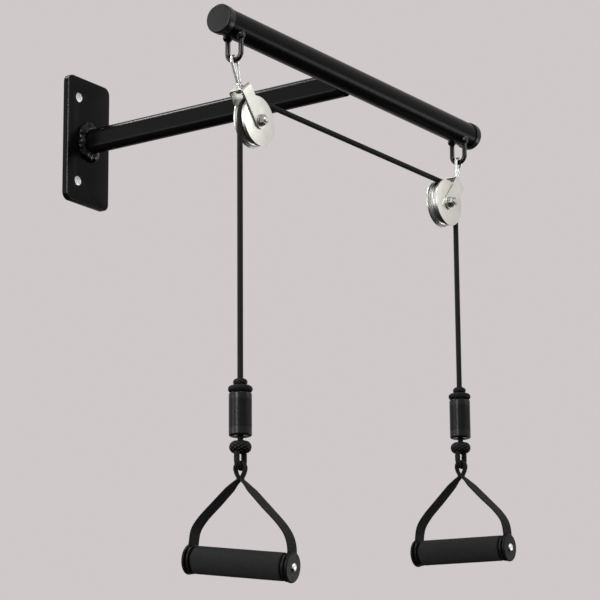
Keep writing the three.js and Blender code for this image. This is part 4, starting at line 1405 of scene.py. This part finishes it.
# Webbing. A flat black polyester strap, 25 mm wide, that runs from one end of the grip up over the rope loop
# and down to the other end. At its top it is folded narrow and sewn into a small eye.
grip_length = 130
grip_drop = 125
webbing_width = 25
webbing_thick = 2.2
fold_width = 9
fold_thick = 4
pinch_drop = 15
shoulder_bend = 45
front_leg_twist = math.radians(7)
hub_collar_thick = 3
hub_flange = 38
hub_flange_thick = 3
outer_disc_thick = 3.5
grip_end = grip_length / 2
hub_face = grip_end + gap
collar_end = hub_face + hub_collar_thick
flange_face = collar_end + hub_flange_thick
webbing_face = flange_face + gap
disc_face = webbing_face + webbing_thick + gap
disc_end = disc_face + outer_disc_thick
stations_per_span = 10
little_share = 1e-4
warp_pitch = 1.5
weft_pitch = 1.1
weave_depth = 0.0003
weave_strength = 0.8
webbing_finish = new_finish(
    "webbing_weave",
    (0.0085, 0.008, 0.0085),
    0.8,
    tones=(1400, 3, (0.006, 0.0057, 0.006), (0.0125, 0.012, 0.0125)),
    gloss=(500, 3, 0.7, 0.9),
    Specular_IOR_Level=0.25,
)


def woven(material, across_pitch, along_pitch, depth, strength):
    """A bump of warp columns and weft ribs, from the piece's own map of millimetres across and along."""
    nodes, links = material.node_tree.nodes, material.node_tree.links
    lay = nodes.new("ShaderNodeUVMap")
    lay.uv_map = "weave"
    split = nodes.new("ShaderNodeSeparateXYZ")
    links.new(lay.outputs["UV"], split.inputs[0])
    both = nodes.new("ShaderNodeMath")
    both.operation = "MULTIPLY"
    for i, pitch in enumerate((across_pitch, along_pitch)):
        turns = nodes.new("ShaderNodeMath")
        turns.operation = "MULTIPLY"
        turns.inputs[1].default_value = 2 * math.pi / pitch
        wave = nodes.new("ShaderNodeMath")
        wave.operation = "SINE"
        links.new(split.outputs[i], turns.inputs[0])
        links.new(turns.outputs[0], wave.inputs[0])
        links.new(wave.outputs[0], both.inputs[i])
    relief(material, both.outputs[0], depth, strength)


woven(webbing_finish, warp_pitch, weft_pitch, weave_depth, weave_strength)


def grip_place(row):
    """The place of a handle, with its origin at the grip's middle and its x along the grip."""
    return (
        rope_end_place(row)
        @ Matrix.Translation((0, 0, -pivot_drop - grip_drop))
        @ Matrix.Rotation(row["tilt"], 4, "Y")
    )


def smooth_line(points, where):
    """A point on the smooth curve through points, at a share of its way."""
    spans = len(points) - 1
    place = where * spans
    i = min(int(place), spans - 1)
    weight = place - i
    b, c = points[i], points[i + 1]
    a = points[i - 1] if i else b * 2 - c
    d = points[i + 2] if i + 2 < len(points) else c * 2 - b
    before, here, after = (b - a).length ** 0.5, (c - b).length ** 0.5, (d - c).length ** 0.5
    leave = ((b - a) / before - (c - a) / (before + here) + (c - b) / here) * here
    arrive = ((c - b) / here - (d - b) / (here + after) + (d - c) / after) * here
    w2, w3 = weight**2, weight**3
    start_part = b * (2 * w3 - 3 * w2 + 1) + leave * (w3 - 2 * w2 + weight)
    return start_part + c * (3 * w2 - 2 * w3) + arrive * (w3 - w2)


def webbing_stops(tilt):
    """The places that the strap passes, rear to front, how flat it lies there and how far it is turned."""
    up = Vector((math.sin(tilt), 0, math.cos(tilt)))
    across = Vector((math.cos(tilt), 0, -math.sin(tilt)))
    pivot = up * grip_drop
    fold_half = fold_thick / 2
    arch = rope_diameter / 2 + gap + fold_half + rope_diameter / 10
    end_x = webbing_face + webbing_thick / 2
    flange = hub_flange / 2

    def leg(mirror, inward, height):
        return Vector((mirror * (end_x - inward) + (height - flange) * math.tan(tilt), 0, height))

    def half(mirror):
        turn = front_leg_twist if mirror > 0 else 0
        pinch = pivot + across * (mirror * (fold_half + gap)) - up * pinch_drop
        bend = [
            leg(mirror, shoulder_bend * (1 - math.cos(a)), flange * 1.1 + shoulder_bend * math.sin(a))
            for a in (math.radians(45), math.radians(22.5), 0)
        ]
        return [
            (pivot + across * (mirror * arch * 0.707) + up * (arch * 0.707), 0, 0),
            (pivot + across * (mirror * arch), 0, 0),
            (pivot + across * (mirror * arch * 0.8) - up * (pinch_drop * 0.45), 0, 0),
            (pinch, 0, 0),
            (pinch.lerp(bend[0], 0.1), 0.3, 0.3 * turn),
            (pinch.lerp(bend[0], 0.25), 0.85, turn),
            (pinch.lerp(bend[0], 0.6), 1, turn),
            (bend[0], 1, 0.7 * turn),
            (bend[1], 1, 0.3 * turn),
            (bend[2], 1, 0),
            (Vector((mirror * end_x, 0, 0)), 1, 0),
            (Vector((mirror * end_x, 0, -webbing_width / 2)), 1, 0),
        ]

    return half(-1)[::-1] + [(pivot + up * arch, 0, 0)] + half(1)


def tape_section(half_width, half_thick, steps=10, ends=6):
    """Points round a flat tape with round selvedges, as (across, thick)."""
    flat = half_width - half_thick
    top = [(flat - 2 * flat * i / steps, half_thick) for i in range(steps + 1)]
    turns = [math.pi * i / ends for i in range(1, ends)]
    left = [(-flat - half_thick * math.sin(a), half_thick * math.cos(a)) for a in turns]
    return top + left + [(-x, -y) for x, y in top + left]


for row in sides:
    name = row["name"]
    place = grip_place(row)
    stops = webbing_stops(-row["tilt"])
    line = [stop for stop, flat, turn in stops]
    stations = (len(stops) - 1) * stations_per_span
    points, lay = [], []
    travelled = 0
    previous = smooth_line(line, 0)
    for i in range(stations + 1):
        share = i / stations
        centre = smooth_line(line, share)
        ahead = (
            smooth_line(line, min(1, share + little_share)) - smooth_line(line, max(0, share - little_share))
        ).normalized()
        span = min(i // stations_per_span, len(stops) - 2)
        between = i / stations_per_span - span
        flat, turn = (a + (b - a) * between for a, b in zip(stops[span][1:], stops[span + 1][1:]))
        sideways = Matrix.Rotation(turn, 3, ahead) @ y_way
        normal = ahead.cross(sideways).normalized()
        half_width = (fold_width + (webbing_width - fold_width) * flat) / 2
        half_thick = (fold_thick + (webbing_thick - fold_thick) * flat) / 2
        travelled += (centre - previous).length
        previous = centre
        section = tape_section(half_width, half_thick)
        points += [place @ (centre + sideways * across + normal * thick) for across, thick in section]
        lay += [(across, travelled) for across, thick in section]
    strap = new_piece(
        f"{name}_handle_strap",
        points,
        skin_faces(stations + 1, len(section)),
        webbing_finish,
        f"{name}_handle",
        (f"{name}_webbing",),
        sharp=70,
    )
    weave = strap.data.uv_layers.new(name="weave")
    for loop in strap.data.loops:
        weave.data[loop.index].uv = lay[loop.vertex_index]


# Foam grips. A sleeve of matte black closed-cell foam with slightly uneven walls, pushed over a steel core
# tube that turns freely, so that the grip rolls in the hand.
foam_diameter = 37
foam_round = 1.8
foam_steps = 60
foam_wobble = 0.004
foam_grain = 0.05
core_diameter = 22
foam_inner, foam_outer = core_diameter / 2 + gap, foam_diameter / 2
foam_finish = new_finish(
    "grip_foam",
    (0.018, 0.0185, 0.019),
    0.92,
    tones=(900, 3, (0.014, 0.0145, 0.015), (0.023, 0.0235, 0.024)),
    grain=(1900, 3, 0.0004, 0.5),
    Specular_IOR_Level=0.2,
)
tube_finish = new_finish(
    "core_steel",
    (0.55, 0.56, 0.57),
    0.3,
    1.0,
    tones=(200, 3, (0.46, 0.47, 0.48), (0.62, 0.63, 0.64)),
    grain=(1500, 2, 0.0001, 0.3),
)
foam_low, foam_high = -grip_end + foam_round, grip_end - foam_round
foam_profile = [
    (foam_inner, -grip_end),
    *rounded(foam_outer - foam_round, foam_low, foam_round, -1, 0),
    *[(foam_outer, foam_low + (foam_high - foam_low) * i / foam_steps) for i in range(1, foam_steps)],
    *rounded(foam_outer - foam_round, foam_high, foam_round, 0, 1),
    (foam_inner, grip_end),
]
uneven_rows = range(1, len(foam_profile) - 2)


def uneven_foam(angle, height, i):
    """How far the foam's outside strays from round, as a share of its radius."""
    if i not in uneven_rows:
        return 0
    spot = Vector((math.cos(angle), math.sin(angle), height * foam_grain))
    return foam_wobble * noise.noise(spot) - foam_wobble


for row in sides:
    name = row["name"]
    grip = turned(
        f"{name}_foam_sleeve",
        foam_profile,
        grip_place(row) @ about_x,
        foam_finish,
        f"{name}_grip",
        (f"{name}_foam_grip",),
        closed=True,
        wobble=uneven_foam,
    )
    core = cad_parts[f"{name}_core_tube"]
    core.data.materials.clear()
    core.data.materials.append(tube_finish)


# Grip ends. At each end a moulded hub with a collar and a flange, the webbing over it, and a round-rimmed
# outer disc, all clamped by one through bolt with a domed bright head in front and a domed nut behind.
hub_collar = 30
hub_spigot = 14
core_wall = 2
outer_disc = 40
through_bolt = 6
bolt_head = 12
bolt_head_thick = 2.4
bolt_hole = through_bolt + 2 * gap
spigot_radius = core_diameter / 2 - core_wall - gap
spigot_end = hub_face - hub_spigot
spigot_chamfer = 0.5
collar_chamfer = 0.3
flange_round = 0.9
flange_middle = hub_flange / 2 - flange_round
disc_round = outer_disc_thick / 2
hub_finish = new_finish(
    "hub_plastic",
    (0.009, 0.0093, 0.0096),
    0.38,
    tones=(120, 4, (0.0078, 0.008, 0.0082), (0.011, 0.0113, 0.0117)),
    gloss=(300, 3, 0.34, 0.48),
    grain=(2600, 2, 0.0001, 0.3),
    Specular_IOR_Level=0.1,
)
rivet_finish = new_finish(
    "polished_rivet",
    (0.93, 0.93, 0.92),
    0.36,
    1.0,
    tones=(300, 3, (0.90, 0.90, 0.89), (0.95, 0.95, 0.94)),
    gloss=(600, 3, 0.33, 0.40),
)
hub_profile = [
    (bolt_hole / 2, spigot_end),
    (spigot_radius - spigot_chamfer, spigot_end),
    (spigot_radius, spigot_end + spigot_chamfer),
    (spigot_radius, hub_face),
    (hub_collar / 2 - collar_chamfer, hub_face),
    (hub_collar / 2, hub_face + collar_chamfer),
    (hub_collar / 2, collar_end),
    *rounded(flange_middle, collar_end + flange_round, flange_round, -1, 0, 5),
    *rounded(flange_middle, flange_face - flange_round, flange_round, 0, 1, 5),
    (bolt_hole / 2, flange_face),
]
disc_profile = [
    (bolt_hole / 2, disc_face),
    (outer_disc / 2 - fine_round, disc_face),
    (outer_disc / 2, disc_face + fine_round),
    *rounded(outer_disc / 2 - disc_round, disc_end - disc_round, disc_round, 0, 1, 8),
    (bolt_hole / 2, disc_end),
]
dome_steps = 10
dome_start = disc_end + gap
dome_angles = [math.pi / 2 * i / dome_steps for i in range(dome_steps + 1)]
dome = [(bolt_head / 2 * math.cos(a), dome_start + bolt_head_thick * math.sin(a)) for a in dome_angles]
shank_end = -dome_start - bolt_head_thick / 3
bolt_profile = [(0, shank_end), (through_bolt / 2, shank_end), (through_bolt / 2, dome_start), *dome]
nut_profile = [
    (0, shank_end - gap),
    (bolt_hole / 2, shank_end - gap),
    (bolt_hole / 2, -dome_start),
    *[(r, -h) for r, h in dome],
]
for row in sides:
    name = row["name"]
    place = grip_place(row) @ about_x
    handle = f"{name}_handle"
    for where, facing in (("front", 1), ("rear", -1)):
        for kind, node, profile in (("hub_body", "hub", hub_profile), ("outer_disc", "disc", disc_profile)):
            turned(
                f"{name}_{where}_{kind}",
                [(r, facing * x) for r, x in profile],
                place,
                hub_finish,
                handle,
                (f"{name}_{where}_{node}",),
                closed=True,
            )
    for kind, node, profile in (
        ("bolt_with_dome", "through_bolt", bolt_profile),
        ("domed_nut", "dome_nut", nut_profile),
    ):
        turned(
            f"{name}_{kind}",
            profile,
            place,
            rivet_finish,
            handle,
            (f"{name}_{node}",),
            count=48,
        )
